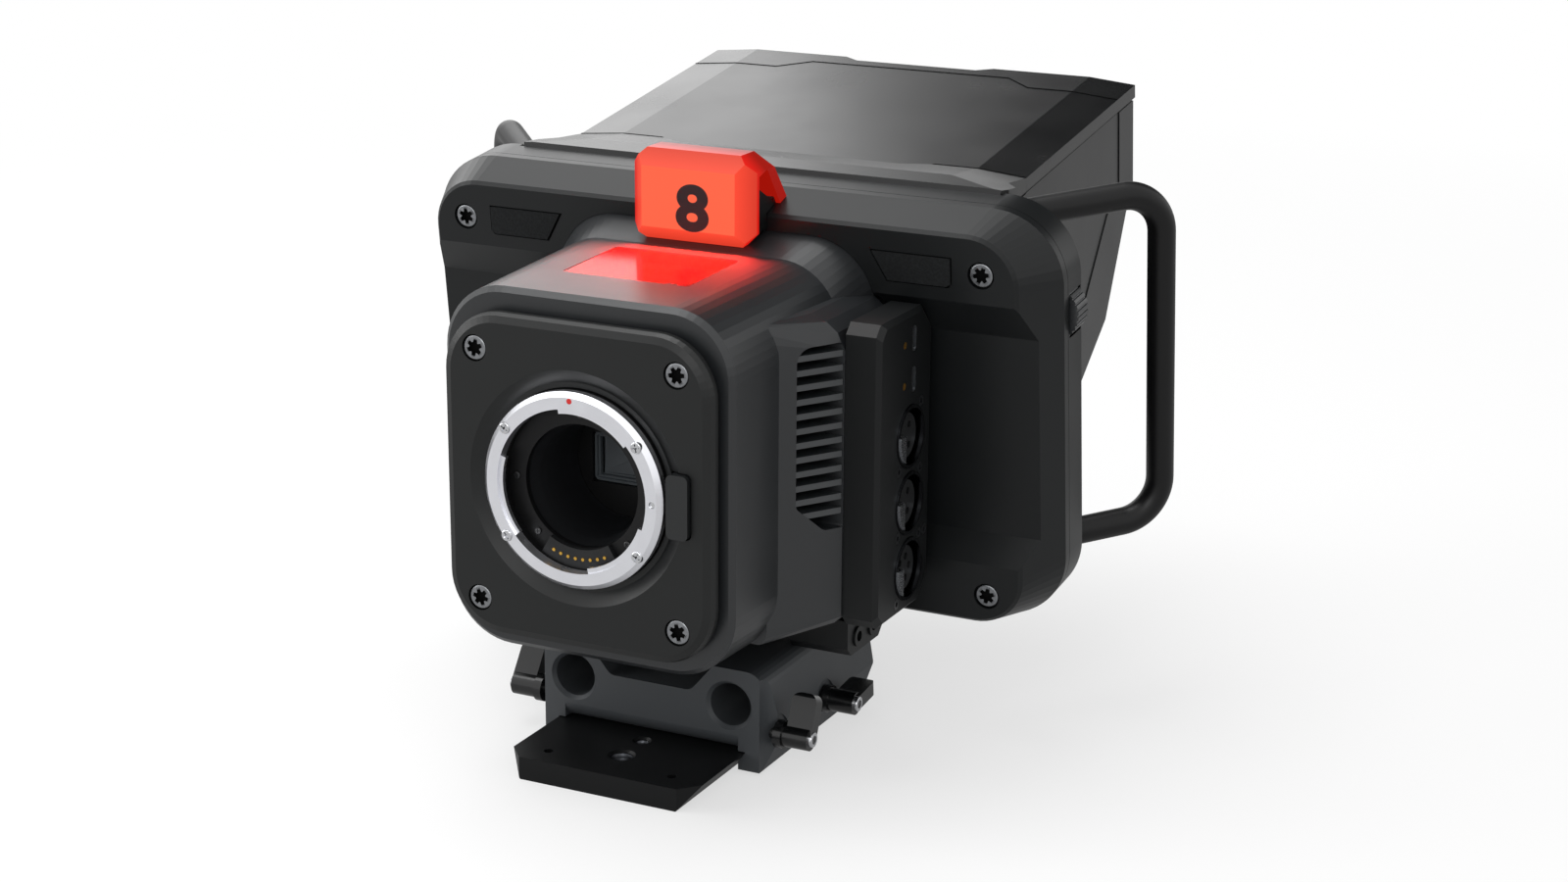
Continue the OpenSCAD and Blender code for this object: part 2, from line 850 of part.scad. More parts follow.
// A fin in plan: its outer edge follows the shoulder's flank
module fin_plan() {
    slant = (shoulder_x - block_half_w + over) / (panel_y0 - over - shoulder_y);
    polygon([[sink_half - fin_root, vent_y0],
        [block_half_w - over - fin_set + slant * (vent_y0 - shoulder_y), vent_y0],
        [shoulder_x - fin_set, panel_y0 - over], [shoulder_x - fin_set, vent_y1],
        [sink_half - fin_root, vent_y1]]);
}

module main_board() {
    color("#1f5a3a") at_lens() plate_y(sink_y - post_len - board_t, sink_y - post_len)
        rounded(board_half, post_mid_z - post_z - 2 * post_r, post_mid_z + post_z + 2 * post_r, over);
}

module at_fan() { at_lens() translate([0, sink_y + sink_t, fan_z]) children(); }

module fan_frame() {
    color("#17181a") at_fan() difference() {
        plate_y(0, fan_t) rounded(fan_half, -fan_half, fan_half, post_r);
        rod_y(-over, fan_t - fan_back_t, fan_bore_r);
        difference() {
            rod_y(-over, fan_t + over, fan_bore_r);
            rod_y(fan_t - fan_back_t, fan_t, fan_hub_r);
            for (turn = [0, 90]) rotate([0, turn, 0])
                translate([-fan_bore_r - over, fan_t - fan_back_t, -strut_w / 2])
                cube([2 * fan_bore_r + 2 * over, fan_back_t, strut_w]);
        }
        rod_y(-over, fan_t + over, fan_axle_r + fit);
    }
}

module fan_rotor() {
    color("#101113") at_fan() {
        rod_y(over, over + fan_cup_t, fan_hub_r);
        rod_y(over, fan_t - fan_back_t / 4, fan_axle_r);
        for (i = [0:blade_n - 1]) rotate([0, i * 360 / blade_n, 0])
            translate([fan_hub_r - over, over + fan_cup_t / 2, 0]) rotate([blade_twist, 0, 0])
            translate([0, -fan_cup_t / 2 + over / 2, -blade_t / 2])
            cube([blade_r - fan_hub_r + over, fan_cup_t - over, blade_t]);
    }
}

// Audio and video panels

module panel_plan(inset, top) {
    y0 = panel_y0 + inset;
    y1 = panel_y1 - inset;
    z0 = panel_bottom + inset;
    z1 = top - inset;
    polygon([[y0, z0 + panel_chamfer / 2], [y0 + panel_chamfer / 2, z0], [y1 - panel_chamfer, z0],
        [y1, z0 + panel_chamfer], [y1, z1 - panel_chamfer], [y1 - panel_chamfer, z1],
        [y0 + panel_chamfer / 2, z1], [y0, z1 - panel_chamfer / 2]]);
}

module panel_block(top) {
    hull() {
        plate_x(shoulder_x, panel_x - panel_edge) panel_plan(0, top);
        plate_x(shoulder_x, panel_x) panel_plan(panel_edge, top);
    }
}

module at_xlr(i) { translate([0, xlr_y, xlr_z - i * xlr_pitch]) children(); }

// The latch lies in the lower front of a round socket
module latch_region(grow) {
    intersection() {
        rod_x(panel_x - latch_len - grow, panel_x + latch_proud + over, xlr_r - xlr_wall - fit + grow);
        translate([0, -xlr_r - over, -latch_low - grow])
            cube([panel_x + latch_proud + over, xlr_r + over - latch_in + grow,
                latch_low + latch_high + 2 * grow]);
    }
}

module flange_spots() {
    for (i = [0:2]) at_xlr(i) {
        translate([0, flange_dy, flange_dz]) children();
        translate([0, -flange_dy, -flange_dz]) children();
    }
    translate([0, panel_screw_y, xlr_z - 2 * xlr_pitch + flange_dz]) children();
}

module audio_panel() {
    color("#1b1d1f") at_lens() difference() {
        panel_block(panel_top);
        for (i = [0:2]) at_xlr(i) rod_x(panel_x - xlr_depth - seam, panel_x + over, xlr_r + seam);
        for (i = [0, 1]) translate([0, usb_y, usb_z - i * usb_step])
            plate_x(panel_x - usb_depth - seam, panel_x + over) usb_outline(seam);
        for (i = [0, 1]) translate([0, nut_y, usb_z - nut_drop - i * usb_step])
            rod_x(panel_x - flange_screw_len, panel_x + over, nut_r + fit);
        flange_spots() {
            rod_x(panel_x - flange_screw_t, panel_x + over, flange_screw_r + seam);
            rod_x(panel_x - flange_screw_len, panel_x + over, flange_screw_r * socket_share + fit);
        }
    }
}

module usb_outline(grow) {
    r = usb_w / 2 + grow;
    for (side = SIDES) translate([0, side * (usb_h - usb_w) / 2]) circle(r = r);
    translate([-r, -(usb_h - usb_w) / 2]) square([2 * r, usb_h - usb_w]);
}

module usb_ports() {
    color("#6d7074") at_lens() for (i = [0, 1]) translate([0, usb_y, usb_z - i * usb_step]) {
        difference() {
            plate_x(panel_x - usb_depth, panel_x) usb_outline(0);
            plate_x(panel_x - usb_depth + over, panel_x + over) usb_outline(-usb_wall);
        }
        translate([panel_x - usb_depth, -tongue_t / 2, -usb_h / 2 + usb_w / 2])
            cube([usb_depth - over, tongue_t, usb_h - usb_w]);
    }
}

module usb_lock_nuts() {
    color("#c98a2c") at_lens() for (i = [0, 1])
        translate([0, nut_y, usb_z - nut_drop - i * usb_step])
        rod_x(panel_x - flange_screw_len, panel_x, nut_r);
}

module xlr_shells() {
    color("#2a2c2f") at_lens() for (i = [0:2]) at_xlr(i) difference() {
        rod_x(panel_x - xlr_depth, panel_x + xlr_proud, xlr_r);
        rod_x(panel_x - xlr_depth + over, panel_x + over, xlr_r - xlr_wall);
    }
}

module xlr_inserts() {
    color("#141517") at_lens() for (i = [0:2]) at_xlr(i) difference() {
        rod_x(panel_x - xlr_depth + over, panel_x - insert_set, insert_r);
        for (turn = i < 2 ? [60, 180, 300] : [0, 72, 144, 216, 288]) rotate([turn, 0, 0])
            translate([0, insert_pitch_r, 0])
            rod_x(panel_x - insert_set - insert_hole_d, panel_x, insert_hole_r);
        latch_region(gap);
        translate([-press, 0, 0]) latch_region(gap);
    }
}

module xlr_latch(i) { color("#9a9da2") at_lens() at_xlr(i) latch(); }
module latch() {
    intersection() {
        latch_region(0);
        rod_x(panel_x - latch_len, panel_x + latch_proud, xlr_r);
    }
}
module xlr_latch_1() { xlr_latch(0); }
module xlr_latch_2() { xlr_latch(1); }
module xlr_latch_3() { xlr_latch(2); }

module flange_screws() {
    color("#3a3c40") at_lens() flange_spots() difference() {
        union() {
            rod_x(panel_x - flange_screw_t, panel_x, flange_screw_r);
            rod_x(panel_x - flange_screw_len, panel_x - flange_screw_t, flange_screw_r * socket_share);
        }
        translate([panel_x - flange_screw_t * socket_share, 0, 0]) rotate([0, 90, 0])
            cylinder(h = over, r = flange_screw_r * socket_share, $fn = 6);
    }
}

module jack_block() {
    color("#1b1d1f") at_lens() difference() {
        union() {
            plate_x(jack_in, jack_x) polygon([[jack_y0, jack_z1], [jack_y0, jack_z0 + jack_chamfer],
                [jack_y0 + jack_chamfer, jack_z0], [jack_y1 - jack_chamfer, jack_z0],
                [jack_y1, jack_z0 + jack_chamfer], [jack_y1, jack_z1]]);
            jack_spots() rod_x(jack_x, jack_x + tongue_t, jack_collar_r);
        }
        jack_spots() rod_x(jack_x - jack_d, jack_x + over, jack_r);
        block_form(0);
    }
}

module jack_spots() {
    for (side = SIDES) translate([0, (jack_y0 + jack_y1) / 2 + side * jack_pitch / 2,
        (jack_z0 + jack_z1) / 2 - over]) children();
}

// The video panel mirrors the lower part of the audio panel on the other side
module video_panel() {
    color("#1b1d1f") at_lens() mirror([1, 0, 0]) difference() {
        panel_block(video_top);
        for (z = bnc_z) translate([0, xlr_y, z]) rod_x(panel_x - bnc_collar_t, panel_x + over, bnc_collar_r + seam);
        translate([0, xlr_y, power_z]) rod_x(panel_x - power_depth - seam, panel_x + over, power_r + seam);
        translate([panel_x - net_d, xlr_y - net_w / 2, net_z - net_h / 2])
            cube([net_d + over, net_w, net_h]);
    }
}

module video_sockets() {
    color("#8d9094") at_lens() mirror([1, 0, 0]) {
        for (z = bnc_z) translate([0, xlr_y, z]) difference() {
            union() {
                rod_x(panel_x - bnc_collar_t, panel_x, bnc_collar_r);
                rod_x(panel_x, panel_x + bnc_len, bnc_r);
                translate([panel_x + bnc_len - 2 * bnc_lug_r, 0, 0]) rotate([90, 0, 0])
                    cylinder(h = 2 * (bnc_r + bnc_lug_r), r = bnc_lug_r, center = true);
            }
            difference() {
                rod_x(panel_x + over, panel_x + bnc_len + over, bnc_r * 0.8);
                rod_x(panel_x, panel_x + bnc_len - over, bnc_r * 0.45);
            }
            rod_x(panel_x + over, panel_x + bnc_len + over, bnc_r * 0.15);
        }
        translate([0, xlr_y, power_z]) {
            difference() {
                rod_x(panel_x - power_depth, panel_x + xlr_proud, power_r);
                rod_x(panel_x - power_depth + over, panel_x + over, power_bore_r);
            }
            for (turn = [45, 135, 225, 315]) rotate([turn, 0, 0]) translate([0, power_pin_pitch_r, 0])
                rod_x(panel_x - power_depth, panel_x - over, power_pin_r);
        }
    }
}

// Monitor housing

module body_outer_front() {
    hull() {
        slice(0, body_face_half - body_edge, -body_face_drop + body_edge, body_face_top - body_edge,
            body_face_r - body_edge);
        slice(body_edge, body_face_half, -body_face_drop, body_face_top, body_face_r);
        slice(roll_d, body_w / 2, -body_drop, body_top, body_r);
    }
    plate_y(roll_d, part_y) rounded(body_w / 2, -body_drop, body_top, body_r);
}

module body_inner_front() {
    hull() {
        slice(shell_wall, body_face_half - shell_wall, -body_face_drop + shell_wall,
            body_face_top - shell_wall, body_face_r - shell_wall);
        slice(roll_d, body_w / 2 - shell_wall, -body_drop + shell_wall, body_top - shell_wall,
            body_r - shell_wall);
    }
    plate_y(roll_d, part_y + over) rounded(body_w / 2 - shell_wall, -body_drop + shell_wall,
        body_top - shell_wall, body_r - shell_wall);
}

// The finger recess runs across the whole front; grown, it keeps a wall behind it
module recess_form(grow) {
    plate_x(-body_w / 2 - over, body_w / 2 + over) polygon([[-over, band_top + over + grow],
        [0, band_top + grow], [recess_d + grow, floor_top + grow / 2],
        [recess_d + grow, floor_bottom - grow / 2], [0, band_bottom - grow],
        [-over, band_bottom - over - grow]]);
}

module mic_outline(grow) {
    polygon([[mic_low_x0 - grow, mic_bottom - grow], [mic_low_x1 + grow, mic_bottom - grow],
        [mic_x1 + grow, mic_bottom + over], [mic_x1 + grow, mic_top + grow],
        [mic_x0 - 2 * grow, mic_top + grow]]);
}

module body_screw_spots() {
    for (x = SIDES) for (z = [body_screw_bottom, body_screw_top])
        translate([x * body_screw_x, 0, z]) children();
}

module body_front_shell() {
    color("#26282a") at_lens() difference() {
        at_body() difference() {
            body_outer_front();
            recess_form(0);
            difference() {
                body_inner_front();
                recess_form(shell_wall);
                body_screw_spots() rod_y(0, part_y, body_screw_r);
            }
            body_screw_spots() {
                rod_y(-over, screw_head_t + screw_recess, body_screw_r + gap);
                rod_y(-over, body_screw_len + over, body_screw_shank_r + seam);
            }
            both_sides() plate_y(-over, mic_in) mic_outline(mic_gap);
        }
        block_form(seam);
        both_sides() shoulder_form(seam);
        at_body() both_sides() dial_slot_cut(dial_z);
        at_body() mirror([1, 0, 0]) dial_slot_cut(dial_z - dial_step);
    }
}

module body_rear_shell() {
    color("#26282a") at_lens() at_body() difference() {
        union() {
            plate_y(part_y + part_gap, body_d - rear_edge)
                rounded(body_w / 2, -body_drop, body_top, body_r);
            hull() {
                slice(body_d - rear_edge, body_w / 2, -body_drop, body_top, body_r);
                slice(body_d - skin, body_w / 2 - rear_edge, -body_drop + rear_edge,
                    body_top - rear_edge, body_r - rear_edge);
            }
        }
        difference() {
            plate_y(part_y - over, body_d - shell_wall) rounded(body_w / 2 - shell_wall,
                -body_drop + shell_wall, body_top - shell_wall - strip_step, body_r - shell_wall);
            body_screw_spots() rod_y(part_y, body_d, body_screw_r);
            both_sides() dial_bearing(dial_z);
            mirror([1, 0, 0]) dial_bearing(dial_z - dial_step);
        }
        // Step that seats the hood's front strip
        translate([-strip_half - gap, strip_y0, body_top - strip_step])
            cube([2 * strip_half + 2 * gap, body_d, body_top]);
        // Window of the screen
        plate_y(body_d - shell_wall - over, body_d + over)
            rounded(screen_w / 2, screen_z - screen_h / 2, screen_z + screen_h / 2, over);
        both_sides() dial_slot_cut(dial_z);
        mirror([1, 0, 0]) dial_slot_cut(dial_z - dial_step);
        both_sides() dial_axle_cut(dial_z);
        mirror([1, 0, 0]) dial_axle_cut(dial_z - dial_step);
        button_spots() rod_y(body_d - shell_wall - over, body_d + over, button_r + gap);
    }
}

module body_screws() {
    color("#8d9094") at_lens() at_body() body_screw_spots() translate([0, screw_recess, 0])
        screw_y(body_screw_r, screw_head_t, body_screw_shank_r, body_screw_len);
}

module mic_pads() {
    color("#2c2e31") at_lens() at_body() both_sides() plate_y(-mic_proud, mic_in) mic_outline(0);
}

// Thumb dials in the housing's sides, turning about an axle that runs front to back

dial_x = body_w / 2 + dial_proud - dial_r;

module dial_slot_cut(z) {
    translate([dial_x, 0, z]) rod_y(dial_y - dial_w / 2 - dial_slot, dial_y + dial_w / 2 + dial_slot,
        dial_r + dial_slot);
}

// The ribs inside the rear shell that hold a dial's axle
module dial_bearing(z) {
    for (side = SIDES) translate([dial_x, 0, z])
        rod_y(dial_y + side * (dial_w / 2 + dial_slot + axle_len / 2) - axle_len / 2,
            dial_y + side * (dial_w / 2 + dial_slot + axle_len / 2) + axle_len / 2, dial_r);
}

module dial_axle_cut(z) {
    translate([dial_x, 0, z]) rod_y(dial_y - dial_w / 2 - dial_slot - axle_len - over,
        dial_y + dial_w / 2 + dial_slot + axle_len - over, axle_r + fit);
}

module dial(z) {
    color("#b9bcc1") translate([dial_x, 0, z]) difference() {
        union() {
            rod_y(dial_y - dial_w / 2, dial_y + dial_w / 2, dial_r);
            rod_y(dial_y - dial_w / 2 - dial_slot - axle_len, dial_y + dial_w / 2 + dial_slot + axle_len - 2 * over,
                axle_r);
        }
        for (i = [0:dial_teeth - 1]) rotate([0, i * 360 / dial_teeth, 0]) translate([dial_r, 0, 0])
            rod_y(dial_y - dial_w / 2 - over, dial_y + dial_w / 2 + over, tooth_r);
    }
}

module focus_dial() { at_lens() at_body() dial(dial_z); }
module brightness_dial() { at_lens() at_body() mirror([1, 0, 0]) dial(dial_z); }
module contrast_dial() { at_lens() at_body() mirror([1, 0, 0]) dial(dial_z - dial_step); }

// Buttons on the housing's back, beside the hood

BUTTON_SIDES = [-1, -1, 1];
BUTTON_ROWS = [0, 1, 0];
module button_at(i) {
    translate([BUTTON_SIDES[i] * button_x, 0, button_z - BUTTON_ROWS[i] * button_step]) children();
}
module button_spots() { for (i = [0:2]) button_at(i) children(); }

module rear_button(i) {
    y = body_d - shell_wall - gap;
    color("#3a3c40") at_lens() at_body() button_at(i) {
        rod_y(y, body_d + button_proud, button_r);
        rod_y(y - button_lip, y, button_r + button_lip);
    }
}
module menu_button() { rear_button(0); }
module display_button() { rear_button(1); }
module function_button() { rear_button(2); }

// Screen

module lcd_panel() {
    color("#0e0f11") at_lens() at_body()
        plate_y(body_d - shell_wall - lcd_t, body_d - shell_wall)
        rounded(screen_w / 2 + lcd_margin, screen_z - screen_h / 2 - lcd_margin,
            screen_z + screen_h / 2 + lcd_margin, over);
}

module screen_glass() {
    color([0.05, 0.06, 0.07]) at_lens() at_body()
        plate_y(body_d - shell_wall, body_d - shell_wall + screen_glass_t)
        rounded(screen_w / 2 - seam, screen_z - screen_h / 2 + seam, screen_z + screen_h / 2 - seam,
            over);
}

module screen_bezel() {
    color("#17181a") at_lens() at_body() difference() {
        union() {
            plate_y(body_d, body_d + bezel_t) rounded(bezel_half, bezel_bottom, bezel_top, bezel_w);
            for (side = SIDES) for (z = [knuckle_bottom - gap - lug_t, knuckle_top + gap])
                hinge_lug(side, z);
        }
        plate_y(body_d - over, body_d + bezel_t + over) rounded(screen_w / 2 - glass_lip,
            screen_z - screen_h / 2 + glass_lip, screen_z + screen_h / 2 - glass_lip, over);
        for (side = SIDES) translate([side * flap_x, flap_axis_y(side), knuckle_bottom - lug_t - over])
            cylinder(h = knuckle_top - knuckle_bottom + 2 * lug_t + 2 * over, r = hinge_pin_r);
    }
}

// Sun hood

flap_x = hood_half_w - pin_post_r;
function flap_axis_y(side) = side > 0 ? flap_y_right : flap_y_left;

// A lug on the bezel holds one end of a flap's pin
module hinge_lug(side, z) {
    translate([0, 0, z]) linear_extrude(lug_t) {
        translate([side * flap_x, flap_axis_y(side)]) circle(r = pin_post_r);
        mirror([side > 0 ? 0 : 1, 0]) translate([flap_x - pin_post_r - lug_reach, body_d])
            square([2 * pin_post_r + lug_reach, flap_axis_y(side) - body_d]);
    }
}

module hood_hinge_pins() {
    color("#8d9094") at_lens() at_body() for (side = SIDES)
        translate([side * flap_x, flap_axis_y(side), knuckle_bottom - lug_t])
        cylinder(h = knuckle_top - knuckle_bottom + 2 * lug_t, r = hinge_pin_r);
}

// Cross-section of the roof: a flat middle, a crease, and a flange down each side
module roof_section() {
    polygon([[-hood_half_w, -flange_h], [-hood_half_w, 0], [-crease_x, crease_h],
        [crease_x, crease_h], [hood_half_w, 0], [hood_half_w, -flange_h],
        [hood_half_w - hood_t, -flange_h], [hood_half_w - hood_t, -hood_t],
        [crease_x, crease_h - hood_t], [-crease_x, crease_h - hood_t],
        [-hood_half_w + hood_t, -hood_t], [-hood_half_w + hood_t, -flange_h]]);
}

// Plan of the front seam and of the rear seam, each with a tongue in the middle
function front_seam(shift) = [[-hood_half_w - over, shift], [-tongue_x0, shift],
    [-tongue_x1, shift - tongue_y], [tongue_x1, shift - tongue_y], [tongue_x0, shift],
    [hood_half_w + over, shift]];
function rear_seam_line(shift) = [[hood_half_w + over, rear_seam + shift],
    [rear_tongue_x0, rear_seam + shift], [rear_tongue_x1, rear_seam + rear_tongue_y + shift],
    [-rear_tongue_x1, rear_seam + rear_tongue_y + shift], [-rear_tongue_x0, rear_seam + shift],
    [-hood_half_w - over, rear_seam + shift]];

module roof_piece(y0, y1) {
    intersection() {
        plate_y(y0, y1) roof_section();
        plate_z(-2 * flange_h, 2 * flange_h) children();
    }
}

module hood_top() {
    color("#303236") at_lens() at_roof() roof_piece(-tongue_y - over, hood_len)
        polygon(concat(front_seam(0), rear_seam_line(0)));
}

module hood_rear_strip() {
    color("#303236") at_lens() at_roof() roof_piece(0, hood_len) difference() {
        polygon(concat(rear_seam_line(0), [[-hood_half_w - over, hood_len],
            [hood_half_w + over, hood_len]]));
        polygon([[-notch_x0, hood_len + over], [-notch_x0, hood_len], [-notch_x1, hood_len - rear_notch],
            [notch_x1, hood_len - rear_notch], [notch_x0, hood_len], [notch_x0, hood_len + over]]);
    }
}

// The strip is screwed to the step on the housing's top and carries the roof
module strip_side() {
    polygon([[strip_y0 + seam, body_top - strip_step + seam], [strip_y0 + seam, body_top - over],
        [strip_y0 + strip_h + seam, body_top + strip_h],
        [strip_y0 + strip_wide_len, body_top + strip_h - seam], [hood_y0, hood_z0 + crease_h],
        [hood_y0, hood_z0 + crease_h - hood_t], [body_d + seam, body_top - strip_step + seam]]);
}

module hood_front_strip() {
    slope = atan((body_top + strip_h - seam - hood_z0 - crease_h) / (hood_y0 - strip_y0 - strip_wide_len));
    color("#303236") at_lens() at_body() difference() {
        union() {
            intersection() {
                plate_x(-strip_half, strip_half) strip_side();
                plate_z(0, 2 * body_top) polygon([[-strip_half + strip_end, 0],
                    [strip_half - strip_end, 0], [strip_half, strip_y0 + strip_end],
                    [strip_half, strip_y0 + strip_wide_len],
                    [hood_half_w, strip_y0 + strip_wide_len + strip_end], [hood_half_w, 2 * hood_y0],
                    [-hood_half_w, 2 * hood_y0], [-hood_half_w, strip_y0 + strip_wide_len + strip_end],
                    [-strip_half, strip_y0 + strip_wide_len], [-strip_half, strip_y0 + strip_end]]);
            }
            both_sides() plate_x(hood_half_w - hood_t, hood_half_w) polygon([
                [body_d + seam, body_top - strip_step + over], [hood_y0, hood_z0],
                [hood_y0, hood_z0 - flange_h], [body_d + seam, hood_z0 - flange_h - over]]);
        }
        // The outer ends fall to the roof's edges
        both_sides() translate([crease_x, hood_y0, hood_z0 + crease_h]) rotate([-slope, 0, 0])
            rotate([0, atan(crease_h / (hood_half_w - crease_x)), 0]) translate([0, -hood_y0, 0])
            cube([body_w, 2 * hood_y0, body_top]);
        at_seam() plate_z(-2 * flange_h, 4 * flange_h) polygon(concat(front_seam(0),
            [[hood_half_w + over, hood_len], [-hood_half_w - over, hood_len]]));
    }
}

// Side flaps, hinged on the bezel, fold in over the screen
module flap_plan(side) {
    y0 = flap_axis_y(side);
    top0 = hood_z0 - flange_h - flap_gap + (y0 - hood_y0) * tan(hood_rise);
    top1 = hood_z0 - flange_h - flap_gap + (flap_rear - hood_y0) * tan(hood_rise);
    polygon([[y0, knuckle_bottom], [y0, knuckle_top], [y0 + 2 * pin_post_r, top0],
        [flap_rear, top1], [flap_rear, flap_heel_z], [flap_rear - flap_bevel, flap_heel_z - flap_bevel],
        [flap_low_y, flap_low_z], [flap_mid_y, flap_mid_z],
        [y0 + 2 * pin_post_r, flap_foot_z], [y0 + pin_post_r, flap_foot_z]]);
}

module hood_flap(side) {
    color("#2a2c2f") at_lens() at_body() difference() {
        union() {
            translate([side > 0 ? 0 : -2 * hood_half_w + hood_t, 0, 0])
                plate_x(hood_half_w - hood_t, hood_half_w) flap_plan(side);
            translate([side * flap_x, flap_axis_y(side), knuckle_bottom])
                cylinder(h = knuckle_top - knuckle_bottom, r = pin_post_r);
        }
        translate([side * flap_x, flap_axis_y(side), knuckle_bottom - over])
            cylinder(h = knuckle_top - knuckle_bottom + 2 * over, r = hinge_pin_r + fit);
        mirror([side > 0 ? 0 : 1, 0, 0]) plate_x(hood_half_w - flap_step, hood_half_w + over)
            polygon([[flap_rear - flap_lip, 2 * body_top], [flap_rear - flap_lip, flap_lip_z],
                [flap_rear - flap_lip - flap_lip_in, flap_lip_z - flap_lip_in + flap_bevel],
                [flap_mid_y, flap_mid_z + 2 * flap_lip_in], [flap_mid_y - flap_lip_in / 2, flap_mid_z + flap_lip_in],
                [hood_y0, flap_mid_z], [hood_y0, 2 * body_top]]);
        for (z = [knuckle_bottom - body_w, knuckle_top])
            translate([side * flap_x, flap_axis_y(side), z]) cylinder(h = body_w, r = pin_post_r + gap);
    }
}
module hood_flap_left() { hood_flap(-1); }
module hood_flap_right() { hood_flap(1); }

// Handles: a rubber-coated tube bent back, out and down along the housing's side.
// Each is drawn in its own upright plane, which is then turned outwards by the splay.

handle_run = (grip_x - handle_x - root_bend_r * (1 - cos(grip_splay))) / sin(grip_splay) - corner_bend_r;

module handle_arm(z) {
    translate([0, -root_bend_r, z]) rotate([0, 0, 90]) rotate_extrude(angle = grip_splay)
        translate([root_bend_r, 0]) circle(r = grip_r);
    translate([0, 0, z]) rotate([0, 90, 0]) cylinder(h = handle_run, r = grip_r);
}

module handle_corner() {
    rotate([90, 0, 0]) rotate_extrude(angle = 90) translate([corner_bend_r, 0]) circle(r = grip_r);
}

module handle() {
    translate([handle_x + root_bend_r * (1 - cos(grip_splay)),
        body_d + boss_len + root_bend_r * sin(grip_splay), 0]) rotate([0, 0, 90 - grip_splay]) {
        handle_arm(handle_top);
        handle_arm(handle_bottom);
        translate([handle_run, 0, handle_top - corner_bend_r]) handle_corner();
        translate([handle_run, 0, handle_bottom + corner_bend_r]) mirror([0, 0, 1]) handle_corner();
        translate([handle_run + corner_bend_r, 0, handle_bottom + corner_bend_r])
            cylinder(h = handle_top - handle_bottom - 2 * corner_bend_r, r = grip_r);
    }
}
module handle_right() { color("#141517") at_lens() at_body() handle(); }
module handle_left() { color("#141517") at_lens() at_body() mirror([1, 0, 0]) handle(); }

module handle_bosses() {
    color("#1d1f21") at_lens() at_body() both_sides() for (z = [handle_top, handle_bottom])
        translate([handle_x, 0, z]) rod_y(body_d, body_d + boss_len, boss_r);
}

// Tally lamp

// Side view of the lamp: upright face, chamfered top, slope down to the housing
function tally_side(inset) = [
    [tally_face_y + inset, tally_bottom + tally_chamfer],
    [tally_face_y + inset, tally_top - tally_chamfer],
    [tally_face_y + tally_chamfer * 0.8, tally_top - inset],
    [tally_face_y + tally_slope_y + 2, tally_top - inset],
    [tally_face_y + tally_depth + tally_chamfer - inset, tally_foot + tally_chamfer],
    [tally_face_y + tally_depth - inset, tally_foot],
    [tally_face_y + tally_chamfer, tally_bottom + inset]];

module tally_solid(inset) {
    intersection() {
        plate_x(-tally_w / 2 + inset, tally_w / 2 - inset) polygon(tally_side(inset));
        // Front view with cut corners
        plate_y(tally_face_y - over, tally_face_y + 3 * tally_depth) polygon([
            [-tally_w / 2 + inset, tally_bottom + tally_chamfer], [-tally_w / 2 + tally_chamfer, tally_bottom],
            [tally_w / 2 - tally_chamfer, tally_bottom], [tally_w / 2 - inset, tally_bottom + tally_chamfer],
            [tally_w / 2 - inset, tally_top - tally_chamfer], [tally_w / 2 - tally_chamfer, tally_top],
            [-tally_w / 2 + tally_chamfer, tally_top], [-tally_w / 2 + inset, tally_top - tally_chamfer]]);
        // Plan with cut front corners
        plate_z(tally_bottom - over, tally_top + over) polygon([
            [-tally_w / 2 + tally_chamfer, tally_face_y - over], [tally_w / 2 - tally_chamfer, tally_face_y - over],
            [tally_w / 2 - tally_chamfer + inset / 2, tally_face_y + inset / 2], [tally_w / 2 - inset / 2, tally_face_y + tally_chamfer],
            [tally_w / 2, tally_face_y + 3 * tally_depth], [-tally_w / 2, tally_face_y + 3 * tally_depth],
            [-tally_w / 2 + inset / 2, tally_face_y + tally_chamfer], [-tally_w / 2 + tally_chamfer - inset / 2, tally_face_y + inset / 2]]);
    }
}

module tally_cover() {
    color("#ff2a1a") at_lens() difference() {
        tally_solid(0);
        intersection() {
            tally_solid(tally_wall);
            translate([-tally_w, 0, 0]) cube([2 * tally_w, block_tail_y + tally_depth, tally_top * 2]);
        }
        // Open sides behind the front corners
        plate_x(-tally_w, tally_w) polygon([
            [tally_face_y + tally_chamfer + tally_wall, tally_bottom - over],
            [tally_face_y + tally_chamfer + tally_wall, tally_top - tally_chamfer - tally_wall],
            [tally_face_y + tally_slope_y + 1, tally_top - tally_chamfer],
            [tally_face_y + tally_depth + tally_chamfer - 2 * tally_wall, tally_foot + tally_wall],
            [tally_face_y + tally_depth, tally_bottom - over]]);
        tally_clear();
    }
}

// Space that the lamp leaves for the housing and the block
module tally_clear() {
    at_body() body_clear();
    block_form(seam);
}

module body_clear() {
    hull() {
        slice(-seam, body_face_half, -body_face_drop, body_face_top + seam, body_face_r);
        slice(roll_d, body_w / 2, -body_drop, body_top + seam, body_r);
    }
    plate_y(roll_d, body_d) rounded(body_w / 2, -body_drop, body_top + seam, body_r);
}

module tally_base() {
    color("#1d1f21") at_lens() difference() {
        intersection() {
            tally_solid(tally_wall + seam);
            plate_x(-tally_w / 2 + tally_side_in, tally_w / 2 - tally_side_in) polygon([
                [tally_face_y + tally_chamfer + 2 * tally_wall, tally_bottom],
                [tally_face_y + tally_chamfer + 2 * tally_wall, tally_top - 2 * tally_chamfer],
                [tally_face_y + tally_depth, tally_foot + tally_chamfer],
                [tally_face_y + 2 * tally_depth, tally_foot], [tally_face_y + 2 * tally_depth, tally_bottom]]);
        }
        tally_clear();
    }
}

// Rod bracket, tripod plate and clamp knobs

bracket_z0 = plate_t - leg_h + slot_clear;

